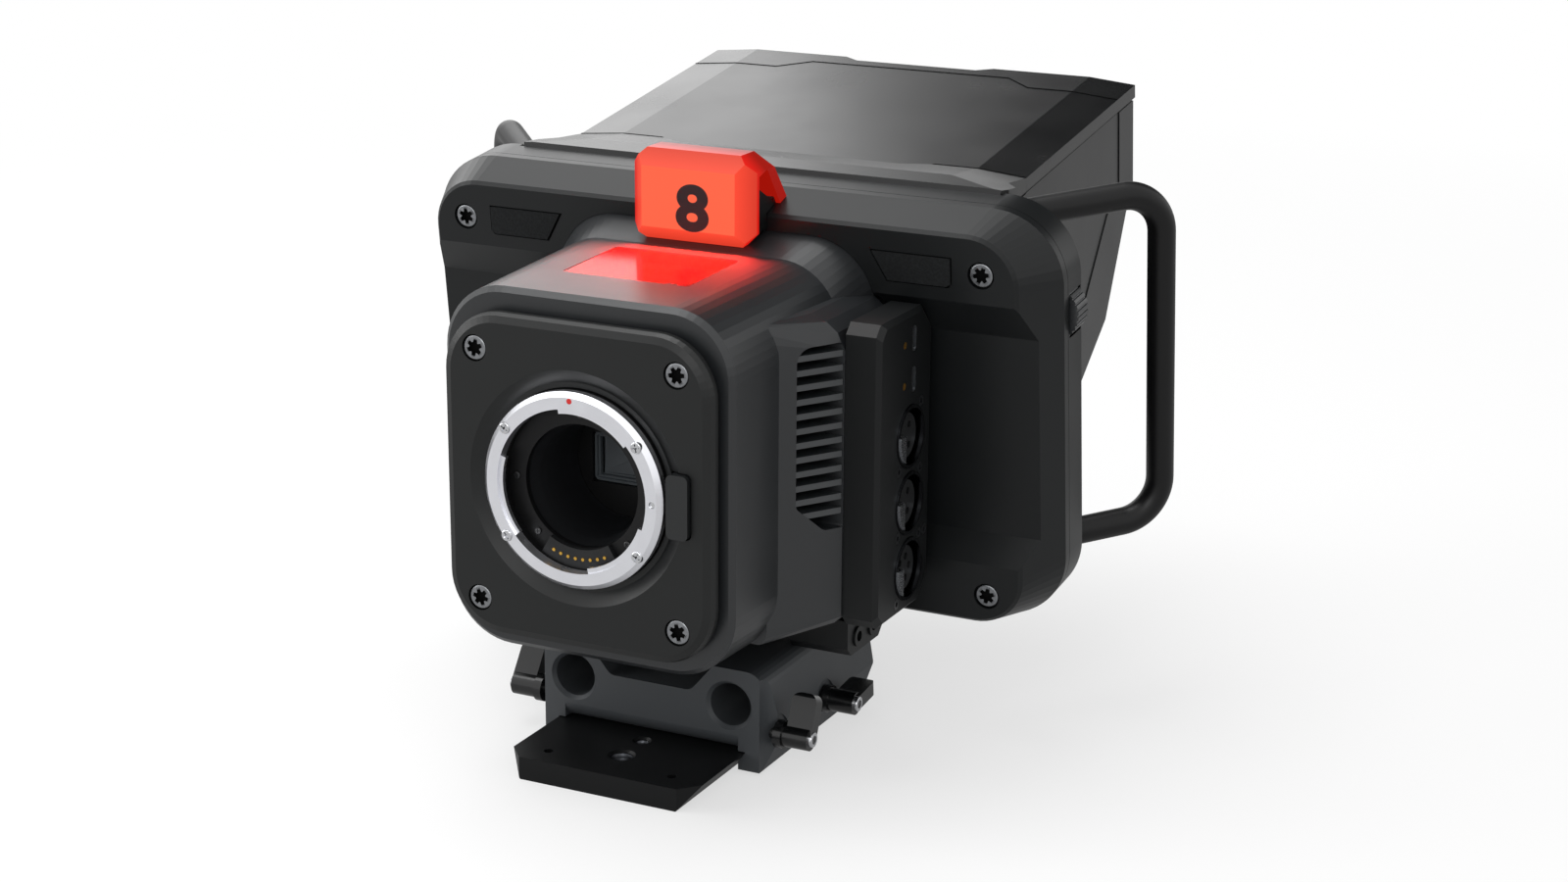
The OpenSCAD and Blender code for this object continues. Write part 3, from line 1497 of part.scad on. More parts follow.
function dovetail_x(z) = plate_top_half - plate_slope * (plate_t - z) / plate_t;

module bracket_section() {
    r = rod_spacing / 2;
    zr = axis_h - rod_drop;
    slot = plate_t + slot_clear;
    foot = plate_t - leg_h;
    difference() {
        polygon(round_points([[-dip_half, zr + dip_rise], [dip_half, zr + dip_rise],
            [dip_top_half, zr + lobe_top], [r + lobe_out, zr + lobe_top],
            [r + ridge_out, axis_h - knob_drop], [r + leg_out, foot], [-r - leg_out, foot],
            [-r - ridge_out, axis_h - knob_drop], [-r - lobe_out, zr + lobe_top],
            [-dip_top_half, zr + lobe_top]],
            [dip_r, dip_r, dip_edge_r, lobe_r, ridge_r, 0, 0, ridge_r, lobe_r, dip_edge_r]));
        polygon([[-dovetail_x(plate_t) - slot_clear, slot], [dovetail_x(plate_t) + slot_clear, slot],
            [dovetail_x(foot) + slot_clear, foot], [dovetail_x(foot) + slot_clear, foot - over],
            [-dovetail_x(foot) - slot_clear, foot - over], [-dovetail_x(foot) - slot_clear, foot]]);
    }
}

module base_bracket() {
    y0 = bracket_y - ring_ahead;
    zr = axis_h - rod_drop;
    color("#1f2123") difference() {
        union() {
            plate_y(y0, y0 + bracket_len) bracket_section();
            both_sides() plate_y(y0 + bracket_len - lip_len, y0 + bracket_len) polygon([
                [dip_top_half + lip_len, zr + lobe_top - over],
                [dip_top_half + lip_len + lip_h, zr + lobe_top + lip_h],
                [rod_spacing / 2 + lobe_out - lip_len, zr + lobe_top + lip_h],
                [rod_spacing / 2 + lobe_out - over, zr + lobe_top - lobe_r / 2]]);
            translate([-pad_half, pad_y0 - ring_ahead, zr]) cube([2 * pad_half, pad_len, rod_drop - block_drop]);
        }
        for (side = SIDES) translate([side * rod_spacing / 2, 0, zr]) {
            rod_y(y0 - over, y0 + bracket_len + over, rod_r);
            turned_y(y0) polygon([[0, -over], [rod_mouth_r + over, -over], [rod_mouth_r, 0], [rod_r, rod_mouth_d], [0, rod_mouth_d]]);
        }
        both_sides() for (y = knob_y) translate([0, y - ring_ahead, axis_h - knob_drop]) {
            rod_x(knob_base - knob_shaft_in - gap, knob_base + over, knob_shaft_r + fit);
            rod_x(knob_base - boss_scoop_d, knob_base + over, boss_scoop_r);
        }
        // Scoops at the front: one up each side, one under the front edge
        both_sides() translate([knob_base + scoop_out, y0, -over])
            cylinder(h = axis_h, r = scoop_r);
        plate_x(-roll_half, roll_half) difference() {
            translate([y0 - over, 0]) square([over + roll_r, bracket_z0 + 2 * roll_r - slot_clear]);
            translate([y0 + roll_r, bracket_z0 + 2 * roll_r]) circle(r = roll_r);
            translate([y0, bracket_z0 + 2 * roll_r]) square([2 * roll_r, roll_r]);
        }
        at_lens() at_body() plate_y(-shell_gap, part_y)
            rounded(body_w / 2, -body_drop - shell_gap, body_top, body_r);
        at_lens() hull() {
            slice(block_mid_y, block_mid_half, -block_drop, 0, block_corner_r / 2);
            slice(block_rear_y, block_rear_half, -block_rear_drop, 0, block_corner_r / 2);
        }
        at_lens() plate_y(block_rear_y, 2 * block_tail_y)
            rounded(block_rear_half, -block_rear_drop, 0, block_corner_r / 2);
    }
}

// The chamfer at a thread's upper mouth
module thread_funnel(y, r) {
    translate([0, y, plate_t]) mirror([0, 0, 1]) translate([0, 0, -over]) rotate_extrude()
        polygon([[0, 0], [r + thread_mouth + over, 0], [r, over + thread_mouth],
            [0, over + thread_mouth]]);
}

module tripod_plate() {
    color("#151618") difference() {
        plate_y(-plate_front, plate_len - plate_front) polygon([[-dovetail_x(0), 0], [dovetail_x(0), 0],
            [dovetail_x(plate_t), plate_t], [-dovetail_x(plate_t), plate_t]]);
        both_sides() plate_z(-over, plate_t + over) polygon([
            [plate_top_half - plate_corner + over, -plate_front - over],
            [plate_top_half - plate_corner, -plate_front - over], [plate_top_half + over, -plate_front + plate_corner + over],
            [plate_top_half + over, -plate_front - over]]);
        translate([0, 0, -over]) cylinder(h = plate_t + 2 * over, r = thread_big_r);
        translate([0, small_thread_y, -over]) cylinder(h = plate_t + 2 * over, r = thread_small_r);
        thread_funnel(0, thread_big_r);
        thread_funnel(small_thread_y, thread_small_r);
        for (side = SIDES) translate([side * pin_hole_x, pin_hole_y, -over])
            cylinder(h = plate_t + 2 * over, r = pin_hole_r);
    }
}

knob_base = rod_spacing / 2 + ridge_out;

module clamp_knob(side, y, turn) {
    translate([0, y - ring_ahead, axis_h - knob_drop]) mirror([side > 0 ? 0 : 1, 0, 0]) {
        color("#1b1d1f") rod_x(knob_base + gap - boss_scoop_d, knob_base + gap + knob_boss_t, knob_boss_r);
        color("#1b1d1f") rod_x(knob_base - knob_shaft_in, knob_base + gap, knob_shaft_r);
        color("#1b1d1f") rod_x(knob_base + gap + knob_boss_t, knob_base + gap + hub_len, hub_r);
        color("#d8dade") rod_x(knob_base + gap + hub_len, knob_base + gap + hub_len + knob_tip_t, knob_tip_r);
        color("#1b1d1f") rotate([turn, 0, 0])
            translate([knob_base + gap + knob_boss_t + over + lever_w / 2, 0, 0]) intersection() {
            plate_y(-lever_t / 2, lever_t / 2)
                rounded(lever_w / 2, -lever_len, lever_len, lever_end_r);
            plate_x(-lever_w, lever_w)
                rounded(lever_t / 2, -over, lever_len, lever_edge_r);
        }
    }
}
module clamp_knob_front_right() { clamp_knob(1, knob_y[0], knob_turn_angle[0]); }
module clamp_knob_rear_right() { clamp_knob(1, knob_y[1], knob_turn_angle[1]); }
module clamp_knob_front_left() { clamp_knob(-1, knob_y[0], knob_turn_angle[2]); }
module clamp_knob_rear_left() { clamp_knob(-1, knob_y[1], knob_turn_angle[3]); }

front_plate();
plate_screws();
lens_mount_ring();
ring_screws();
mount_throat();
contact_block();
contact_pins();
sensor_frame();
sensor_glass();
lens_release_button();
lens_lock_pin();
lens_block();
top_inlay();
heat_sink();
fan_frame();
fan_rotor();
main_board();
audio_panel();
xlr_shells();
xlr_inserts();
xlr_latch_1();
xlr_latch_2();
xlr_latch_3();
usb_ports();
usb_lock_nuts();
flange_screws();
jack_block();
video_panel();
video_sockets();
body_front_shell();
body_rear_shell();
body_screws();
mic_pads();
tally_base();
tally_cover();
screen_bezel();
lcd_panel();
screen_glass();
hood_front_strip();
hood_top();
hood_rear_strip();
hood_flap_left();
hood_flap_right();
hood_hinge_pins();
focus_dial();
brightness_dial();
contrast_dial();
menu_button();
display_button();
function_button();
handle_left();
handle_right();
handle_bosses();
base_bracket();
tripod_plate();
clamp_knob_front_right();
clamp_knob_rear_right();
clamp_knob_front_left();
clamp_knob_rear_left();
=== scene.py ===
import bpy, bmesh, json, math
from mathutils import Matrix, Vector

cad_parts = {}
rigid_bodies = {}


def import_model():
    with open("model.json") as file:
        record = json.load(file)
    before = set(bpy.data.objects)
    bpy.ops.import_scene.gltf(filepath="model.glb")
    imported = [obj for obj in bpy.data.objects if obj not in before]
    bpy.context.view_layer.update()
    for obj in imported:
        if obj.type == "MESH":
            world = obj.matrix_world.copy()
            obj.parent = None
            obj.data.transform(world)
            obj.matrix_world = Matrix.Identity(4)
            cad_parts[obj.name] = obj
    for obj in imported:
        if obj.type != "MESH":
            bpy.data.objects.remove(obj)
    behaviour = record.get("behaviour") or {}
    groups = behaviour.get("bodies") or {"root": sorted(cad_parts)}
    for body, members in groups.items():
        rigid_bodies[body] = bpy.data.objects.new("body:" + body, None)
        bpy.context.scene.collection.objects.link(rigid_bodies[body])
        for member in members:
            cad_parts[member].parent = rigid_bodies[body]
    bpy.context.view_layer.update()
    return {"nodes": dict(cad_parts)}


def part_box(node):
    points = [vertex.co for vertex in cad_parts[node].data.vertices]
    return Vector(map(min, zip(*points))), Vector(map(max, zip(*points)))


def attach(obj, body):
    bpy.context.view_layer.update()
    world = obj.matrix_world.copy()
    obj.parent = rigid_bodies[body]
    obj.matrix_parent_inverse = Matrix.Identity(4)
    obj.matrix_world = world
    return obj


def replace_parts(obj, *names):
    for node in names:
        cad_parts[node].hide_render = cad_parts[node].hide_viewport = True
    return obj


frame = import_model()
nodes = frame["nodes"]

# Viewpoint. The camera stands ahead of the lens end, to its right and a little above it.
# Places in this file are millimetres from the middle of the lens ring's front face,
# because every front piece is centred there; the ring's own box says where that is.
ring_low, ring_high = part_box("lens_mount_ring")
lens = Vector((0.0, ring_low.y, (ring_low.z + ring_high.z) / 2))
view_turn, view_rise, view_roll = math.radians(26.125), math.radians(16.64), math.radians(0.396)
view_distance, shift_right, shift_up = 0.89646, 0.067393, 0.016233
flat_reach = math.cos(view_rise)
back = Vector((math.sin(view_turn) * flat_reach, -math.cos(view_turn) * flat_reach, math.sin(view_rise)))
level = Vector((math.cos(view_turn), math.sin(view_turn), 0.0))
upright = back.cross(level)
right = level * math.cos(view_roll) + upright * math.sin(view_roll)
up = upright * math.cos(view_roll) - level * math.sin(view_roll)
camera = bpy.data.objects.new("camera", bpy.data.cameras.new("camera"))
stand = lens + back * view_distance + right * shift_right + up * shift_up
camera.matrix_world = Matrix.Translation(stand) @ Matrix((right, up, back)).transposed().to_4x4()
camera.data.lens = 65.26
camera.data.sensor_width = 36.0
camera.data.clip_start = 0.01
bpy.context.scene.collection.objects.link(camera)
bpy.context.scene.camera = camera
bpy.context.scene.view_settings.view_transform = "Standard"


# Floor. A seamless matt white table. It shows white to the camera, is a step darker in
# gloss, as paper is beside the lamps, and darkens where the object keeps the light off it.
def rgb(code):
    parts = [int(code[i:i + 2], 16) / 255 for i in (1, 3, 5)]
    light = [c / 12.92 if c <= 0.04045 else ((c + 0.055) / 1.055) ** 2.4 for c in parts]
    return (*light, 1.0)


def add(tree, kind, links=None, **settings):
    node = tree.nodes.new(kind)
    for name, value in settings.items():
        if name.startswith("in_"):
            key = name[3:]
            node.inputs[int(key) if key.isdigit() else key.replace("_", " ")].default_value = value
        else:
            setattr(node, name, value)
    for name, source in (links or {}).items():
        tree.links.new(source, node.inputs[name])
    return node


def new_material(name):
    material = bpy.data.materials.new(name)
    material.use_nodes = True
    material.node_tree.nodes.clear()
    return material, material.node_tree


bpy.ops.object.select_all(action="DESELECT")
bpy.ops.mesh.primitive_plane_add(size=14, location=(0, 0, 0))
floor = bpy.context.active_object
floor.name = "floor"
# Its shadows show fully within shadow_edge of the origin, and not at all past white_edge.
shadow_edge, white_edge, near_white = 0.45, 1.3, 0.62
gloss_share, gloss_power = 0.7, 0.4
paper, tree = new_material("matt white paper")
path = add(tree, "ShaderNodeLightPath")
seen = add(tree, "ShaderNodeMath",
    {0: path.outputs["Is Camera Ray"], 1: path.outputs["Is Transmission Ray"]}, operation="MAXIMUM")
gloss = add(tree, "ShaderNodeMath", {0: path.outputs["Is Glossy Ray"]}, operation="MULTIPLY",
    in_1=gloss_share)
place = add(tree, "ShaderNodeTexCoord")
reach = add(tree, "ShaderNodeVectorMath", {0: place.outputs["Object"]}, operation="LENGTH")
fade = add(tree, "ShaderNodeMapRange", {0: reach.outputs["Value"]}, in_1=shadow_edge,
    in_2=white_edge, in_3=near_white, in_4=1.0)
share = add(tree, "ShaderNodeMath", {0: seen.outputs[0], 1: fade.outputs[0], 2: gloss.outputs[0]},
    operation="MULTIPLY_ADD")
power = add(tree, "ShaderNodeMapRange", {0: path.outputs["Is Glossy Ray"]}, in_3=1.0,
    in_4=gloss_power)
matt = add(tree, "ShaderNodeBsdfDiffuse", in_Color=rgb("#f4f4f4"))
glow = add(tree, "ShaderNodeEmission", {"Strength": power.outputs[0]}, in_Color=(1, 1, 1, 1))
both = add(tree, "ShaderNodeMixShader",
    {0: share.outputs[0], 1: matt.outputs[0], 2: glow.outputs[0]})
add(tree, "ShaderNodeOutputMaterial", {"Surface": both.outputs[0]})
floor.data.materials.append(paper)

# Light. An even white studio. Behind the object, to the right, a black flag stands in the
# surround, so the hood's roof fades from pale grey to black, as gloss plastic does there.
world = bpy.data.worlds.new("studio")
bpy.context.scene.world = world
world.use_nodes = True
tree = world.node_tree
tree.nodes.clear()
path = add(tree, "ShaderNodeLightPath")
way = add(tree, "ShaderNodeTexCoord")
flag_rise = math.radians(30)
flag_rim, flag_core, flag_light, soft_light = 0.895, 0.935, 0.02, 0.55
flag_way = Vector((0.0, math.cos(flag_rise), math.sin(flag_rise)))
facing = add(tree, "ShaderNodeVectorMath", {0: way.outputs["Generated"]}, operation="DOT_PRODUCT",
    in_1=flag_way)
flag = add(tree, "ShaderNodeMapRange", {0: facing.outputs["Value"]}, in_1=flag_rim, in_2=flag_core,
    in_3=1.0, in_4=flag_light)
flag.interpolation_type = "SMOOTHSTEP"
seen = add(tree, "ShaderNodeMath",
    {0: path.outputs["Is Camera Ray"], 1: path.outputs["Is Transmission Ray"]}, operation="MAXIMUM")
gloss = add(tree, "ShaderNodeMath", {0: path.outputs["Is Glossy Ray"], 1: flag.outputs[0]},
    operation="MULTIPLY")
soft = add(tree, "ShaderNodeMath", {0: path.outputs["Is Diffuse Ray"]}, operation="MULTIPLY",
    in_1=soft_light)
first = add(tree, "ShaderNodeMath", {0: seen.outputs[0], 1: gloss.outputs[0]}, operation="MAXIMUM")
strength = add(tree, "ShaderNodeMath", {0: first.outputs[0], 1: soft.outputs[0]},
    operation="MAXIMUM")
surround = add(tree, "ShaderNodeBackground", {"Strength": strength.outputs[0]},
    in_Color=(1, 1, 1, 1))
add(tree, "ShaderNodeOutputWorld", {"Surface": surround.outputs[0]})


def lamp(name, place, aim, size, power):
    data = bpy.data.lights.new(name, "AREA")
    data.shape = "RECTANGLE"
    data.size, data.size_y = size
    data.energy = power
    body = bpy.data.objects.new(name, data)
    place, aim = Vector(place), Vector(aim)
    body.location = place
    body.rotation_mode = "QUATERNION"
    body.rotation_quaternion = (aim - place).to_track_quat("-Z", "Y")
    bpy.context.scene.collection.objects.link(body)


lamp("overhead lamp", (-0.35, 0.1, 1.5), (0, 0.05, 0.1), (1.2, 0.9), 13)
lamp("left lamp", (-1.2, -0.5, 0.6), (0, 0.0, 0.12), (0.5, 1.0), 7)
lamp("front lamp", (0.5, -1.5, 0.9), (0, 0.0, 0.12), (0.9, 0.5), 5)
lamp("hood lamp", (-1.08, 1.27, 0.85), (0, 0.15, 0.2), (0.9, 0.9), 3.2)


# Lens ring. Stainless steel, turned on a lathe, so fine tool marks run round its axis and
# a bright line stands on each edge. It screws to the front plate and takes the lens flange.
def at(x, y, z):
    return lens + Vector((x, y, z)) / 1000


def dress(material, *names):
    for name in names:
        nodes[name].data.materials.clear()
        nodes[name].data.materials.append(material)


steel_ring, tree = new_material("turned stainless steel")
place = add(tree, "ShaderNodeTexCoord")
centre = add(tree, "ShaderNodeMapping", {"Vector": place.outputs["Object"]}, in_Location=-lens)
# Tool marks are 0.1 mm apart on the real ring; they are drawn 0.45 mm apart to show.
mark_gap = 0.00045
marks = add(tree, "ShaderNodeTexWave", {"Vector": centre.outputs[0]}, wave_type="RINGS",
    rings_direction="Y", in_Scale=math.tau / (20 * mark_gap), in_Distortion=0.6, in_Detail=2.0)
cloud = add(tree, "ShaderNodeTexNoise", {"Vector": place.outputs["Object"]}, in_Scale=160.0,
    in_Detail=3.0)
tone = add(tree, "ShaderNodeMapRange", {0: cloud.outputs[0]}, in_1=0.3, in_2=0.7, in_3=0.27,
    in_4=0.36)
bump = add(tree, "ShaderNodeBump", {"Height": marks.outputs["Fac"]}, in_Strength=0.22,
    in_Distance=0.00004)
skin = add(tree, "ShaderNodeBsdfPrincipled",
    {"Roughness": tone.outputs[0], "Normal": bump.outputs[0]}, in_Base_Color=rgb("#f2f3f8"),
    in_Metallic=1.0)
add(tree, "ShaderNodeOutputMaterial", {"Surface": skin.outputs[0]})
dress(steel_ring, "lens_mount_ring")


# Index dot. A spot of red enamel in a shallow drilled recess at the top of the ring.
# It is thick paint, so it is glossy and very slightly domed.
def start():
    if bpy.context.mode != "OBJECT":
        bpy.ops.object.mode_set(mode="OBJECT")
    bpy.ops.object.select_all(action="DESELECT")


def edit(piece, test=None, kind="FACE"):
    # Goes into edit mode and selects the faces, corners or sides that pass the test.
    if bpy.context.mode == "OBJECT":
        piece.select_set(True)
        bpy.context.view_layer.objects.active = piece
        bpy.ops.object.mode_set(mode="EDIT")
    bpy.ops.mesh.select_mode(type=kind)
    bpy.ops.mesh.select_all(action="DESELECT")
    shape = bmesh.from_edit_mesh(piece.data)
    if kind == "FACE":
        for face in shape.faces:
            face.select_set(bool(test and test(face.calc_center_median(), face.normal)))
    elif kind == "VERT":
        for corner in shape.verts:
            corner.select_set(bool(test and test(corner.co, corner.normal)))
    else:
        for side in shape.edges:
            side.select_set(bool(test and test((side.verts[0].co + side.verts[1].co) / 2, side)))
    shape.select_flush_mode()
    bmesh.update_edit_mesh(piece.data)


def done(piece, name, material, body, place=Matrix(), smooth=35):
    # Names a finished piece, moves its mesh to its place and ties it to its body and slot.
    start()
    piece.select_set(True)
    bpy.context.view_layer.objects.active = piece
    bpy.ops.object.transform_apply(location=True, rotation=True, scale=True)
    if smooth:
        bpy.ops.object.shade_smooth_by_angle(angle=math.radians(smooth))
    piece.name = piece.data.name = name
    piece.data.transform(place)
    for i, skin in enumerate(material if isinstance(material, tuple) else (material,)):
        if i == len(piece.data.materials):
            piece.data.materials.append(skin)
        piece.data.materials[i] = skin
    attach(piece, body)
    return piece


def copy_of(piece, name, material, body, place):
    start()
    twin = bpy.data.objects.new(name, piece.data.copy())
    bpy.context.scene.collection.objects.link(twin)
    return done(twin, name, material, body, place, smooth=0)


def drum(radius, depth, sides=32, middle=(0, 0, 0)):
    start()
    bpy.ops.mesh.primitive_cylinder_add(vertices=sides, radius=radius, depth=depth, location=middle)
    bpy.ops.object.transform_apply(location=True, rotation=False, scale=False)
    return bpy.context.active_object


FACING = Matrix.Rotation(math.radians(90), 4, "X")

enamel, tree = new_material("red stoving enamel")
place = add(tree, "ShaderNodeTexCoord")
flow = add(tree, "ShaderNodeTexNoise", {"Vector": place.outputs["Object"]}, in_Scale=900.0)
bump = add(tree, "ShaderNodeBump", {"Height": flow.outputs[0]}, in_Strength=0.2,
    in_Distance=0.00003)
skin = add(tree, "ShaderNodeBsdfPrincipled", {"Normal": bump.outputs[0]},
    in_Base_Color=rgb("#c8201c"), in_Roughness=0.22)
add(tree, "ShaderNodeOutputMaterial", {"Surface": skin.outputs[0]})
dot = drum(0.00093, 0.0004, 24)
edit(dot, lambda c, n: n.z > 0.9)
bpy.ops.mesh.inset(thickness=0.0003)
bpy.ops.transform.translate(value=(0, 0, 0.00006))
bpy.ops.mesh.inset(thickness=0.0003)
bpy.ops.transform.translate(value=(0, 0, 0.00003))
done(dot, "index_dot", enamel, "camera",
    Matrix.Translation(at(0, 0.22, 29.8)) @ FACING)


# Ring screws. Four small stainless pan heads with a cross recess, pressed from bright wire.
# Their domed heads are polished, so each holds one small light and one dark half.
def bright_metal(name, colour, roughness, brush_mm=0.3):
    material, tree = new_material(name)
    place = add(tree, "ShaderNodeTexCoord")
    scratch = add(tree, "ShaderNodeTexNoise", {"Vector": place.outputs["Object"]},
        in_Scale=1000 / brush_mm, in_Detail=3.0)
    tone = add(tree, "ShaderNodeMapRange", {0: scratch.outputs[0]}, in_1=0.3, in_2=0.7,
        in_3=roughness - 0.04, in_4=roughness + 0.05)
    bump = add(tree, "ShaderNodeBump", {"Height": scratch.outputs[0]}, in_Strength=0.12,
        in_Distance=0.00002)
    skin = add(tree, "ShaderNodeBsdfPrincipled",
        {"Roughness": tone.outputs[0], "Normal": bump.outputs[0]}, in_Base_Color=rgb(colour),
        in_Metallic=1.0)
    add(tree, "ShaderNodeOutputMaterial", {"Surface": skin.outputs[0]})
    return material


def cross_head(radius, height, shank, length):
    head = drum(radius, height, 32, (0, 0, height / 2))
    edit(head, lambda c, n: n.z > 0.9)
    bpy.ops.mesh.bevel(offset=height * 0.55, offset_type="OFFSET", segments=4, profile=0.6)
    edit(head, lambda c, n: n.z > 0.99)
    bpy.ops.mesh.inset(thickness=radius * 0.16)
    # The recess: the ring of corners is drawn in between the four arms, then pushed down.
    edit(head, lambda c, n: c.z > height - 1e-6 and c.xy.length < radius * 0.72
        and abs(math.cos(2 * math.atan2(c.y, c.x))) < 0.86, "VERT")
    bpy.ops.transform.resize(value=(0.34, 0.34, 1), center_override=(0, 0, height))
    edit(head, lambda c, n: n.z > 0.9 and c.xy.length < radius * 0.1 and c.z > height * 0.9)
    bpy.ops.mesh.poke()
    bpy.ops.mesh.extrude_region_move(TRANSFORM_OT_translate={"value": (0, 0, -height * 0.8)})
    edit(head, lambda c, n: n.z < -0.9 and c.z < 1e-5)
    bpy.ops.mesh.inset(thickness=radius - shank)
    bpy.ops.mesh.extrude_region_move(TRANSFORM_OT_translate={"value": (0, 0, -length)})
    return head


def seats(spots, turns, base=Matrix()):
    # The places of screws that face forward, each turned by its own angle.
    return [base @ Matrix.Translation(spot) @ FACING @ Matrix.Rotation(math.radians(turn), 4, "Z")
            for spot, turn in zip(spots, turns)]


def scatter(piece, name, material, places):
    # Copies go to all the places but the first, which the piece itself takes.
    for i, place in enumerate(places[1:], 2):
        copy_of(piece, f"{name}_{i}", material, "camera", place)
    return done(piece, f"{name}_1", material, "camera", places[0])


polished = bright_metal("polished stainless wire", "#d6d7da", 0.16)
ring_screw = cross_head(radius=0.0019, height=0.00085, shank=0.00085, length=0.0045)
ring_spots = [at(x, 0.4, z) for z in (17.93, -17.93) for x in (23.8, -23.8)]
ring_seats = seats(ring_spots, (12, 60, -25, 35))
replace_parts(scatter(ring_screw, "ring_screw", polished, ring_seats), "ring_screws")


# Throat. A black anodised tube behind the ring, cut with sharp baffle grooves that stop
# stray light. Only their edges catch a little, as thin rings, and the rest stays black.
def dull_black(name, colour, roughness=0.7, specular=0.2, grain_mm=0.4):
    material, tree = new_material(name)
    place = add(tree, "ShaderNodeTexCoord")
    grain = add(tree, "ShaderNodeTexNoise", {"Vector": place.outputs["Object"]},
        in_Scale=1000 / grain_mm, in_Detail=2.0)
    tone = add(tree, "ShaderNodeMapRange", {0: grain.outputs[0]}, in_1=0.3, in_2=0.7,
        in_3=roughness - 0.05, in_4=roughness + 0.05)
    bump = add(tree, "ShaderNodeBump", {"Height": grain.outputs[0]}, in_Strength=0.2,
        in_Distance=0.00002)
    skin = add(tree, "ShaderNodeBsdfPrincipled",
        {"Roughness": tone.outputs[0], "Normal": bump.outputs[0]}, in_Base_Color=rgb(colour),
        in_Specular_IOR_Level=specular)
    add(tree, "ShaderNodeOutputMaterial", {"Surface": skin.outputs[0]})
    return material


# Corners nearer to each other than this, in metres, become one.
WELD = 0.00001


def lathe(profile, axis, steps):
    # A closed profile turned once round an axis through the origin.
    start()
    bpy.ops.mesh.primitive_circle_add(vertices=3, radius=0.001)
    piece = bpy.context.active_object
    edit(piece, lambda c, n: True, "VERT")
    bpy.ops.mesh.delete(type="VERT")
    shape = bmesh.from_edit_mesh(piece.data)
    corners = [shape.verts.new(point) for point in profile]
    for first, second in zip(corners, corners[1:] + corners[:1]):
        shape.edges.new((first, second))
    bmesh.update_edit_mesh(piece.data)
    bpy.ops.mesh.select_all(action="SELECT")
    bpy.ops.mesh.spin(steps=steps, angle=math.tau, center=(0, 0, 0), axis=axis)
    bpy.ops.mesh.select_all(action="SELECT")
    bpy.ops.mesh.remove_doubles(threshold=WELD)
    bpy.ops.mesh.normals_make_consistent(inside=False)
    return piece


anodised_bore = dull_black("matt black anodised bore", "#060607", 0.5, 0.3)
dress(anodised_bore, "mount_throat")
# The grooves' profile is seven teeth on a thin wall. Its depths are millimetres behind the
# ring's face, and its radii are metres.
near_y, far_y, groove_pitch = 9, 37.4, 4
wall_radius, groove_radius, tooth_radius = 0.0204, 0.0202, 0.0189
profile = [(wall_radius, far_y / 1000, 0)]
for row in range(7):
    y = far_y - groove_pitch * row
    profile += [(tooth_radius, (y - 0.3) / 1000, 0), (groove_radius, (y - 3.6) / 1000, 0)]
profile.append((wall_radius, near_y / 1000, 0))
baffles = lathe(profile, (0, 1, 0), 72)
baffle_black = dull_black("grey anodised baffles", "#141517", 0.35, 0.5)
done(baffles, "throat_baffles", baffle_black, "camera",
    Matrix.Translation(lens), smooth=20)

# Throat screws. Four tiny black cross-recess screws hold the tube to its ledge.
# They are chemically blackened steel, so only the rim of each head shines.
black_steel = dull_black("blackened steel", "#141517", 0.34, 0.7, 0.3)
throat_screw = cross_head(radius=0.00115, height=0.0006, shank=0.0005, length=0.0008)
throat_spots = [at(x, 7, z) for x, z in ((0, 23.7), (-23.7, 0.5), (-16.2, -17.2), (16.6, -16.9))]
scatter(throat_screw, "throat_screw", black_steel,
    seats(throat_spots, (0, 30, 10, 50)))

# Contacts. A moulded block on the ledge holds a row of gold-plated pins, which talk to the
# lens. The gold is bright and smooth; the block is dull nylon.
gold = bright_metal("gold plate", "#e0b050", 0.2)
nylon = dull_black("black nylon", "#121314", 0.5, 0.4)
dress(gold, "contact_pins")
dress(nylon, "contact_block")

# Sensor. A coated glass over the imaging chip, in a stepped frame that keeps dust and light
# out. The steps show as nested dark grey rectangles with rounded corners.
frame_black = dull_black("black oxide sensor frame", "#4b5054", 0.4, 0.6)
dress(frame_black, "sensor_frame")
start()
bpy.ops.mesh.primitive_cube_add(size=1, location=(0, 0, 0))
mask = bpy.context.active_object
mask_size = (0.0266, 0.0042, 0.0166)
bpy.ops.transform.resize(value=mask_size)
bpy.ops.object.transform_apply(location=True, rotation=True, scale=True)
edit(mask, lambda c, side: abs((side.verts[0].co - side.verts[1].co).normalized().y) > 0.9, "EDGE")
bpy.ops.mesh.bevel(offset=0.0016, offset_type="OFFSET", segments=5)
for rim, sink in ((0.0008, 0.0008), (0.0007, 0.0012), (0.0006, 0.0014)):
    edit(mask, lambda c, n: n.y < -0.9 and c.xz.length < 0.001)
    bpy.ops.mesh.inset(thickness=rim)
    bpy.ops.mesh.extrude_region_move(TRANSFORM_OT_translate={"value": (0, sink, 0)})
    bpy.ops.transform.resize(value=(0.985, 1, 0.975), center_override=(0, 0, 0))
edit(mask, lambda c, n: n.y > 0.9)
bpy.ops.mesh.delete(type="FACE")
edit(mask, lambda c, n: n.y < -0.9 and c.xz.length < 0.001)
bpy.ops.mesh.delete(type="FACE")
edit(mask, lambda c, side: side.is_boundary, "EDGE")
bpy.ops.mesh.bridge_edge_loops()
bpy.ops.mesh.select_all(action="SELECT")
bpy.ops.mesh.normals_make_consistent(inside=False)
done(mask, "sensor_steps", frame_black, "camera",
    Matrix.Translation(at(0, 40.9, 0)))
coated_glass, tree = new_material("coated sensor glass")
place = add(tree, "ShaderNodeTexCoord")
film = add(tree, "ShaderNodeTexNoise", {"Vector": place.outputs["Object"]}, in_Scale=40.0)
tint = add(tree, "ShaderNodeValToRGB", {0: film.outputs[0]})
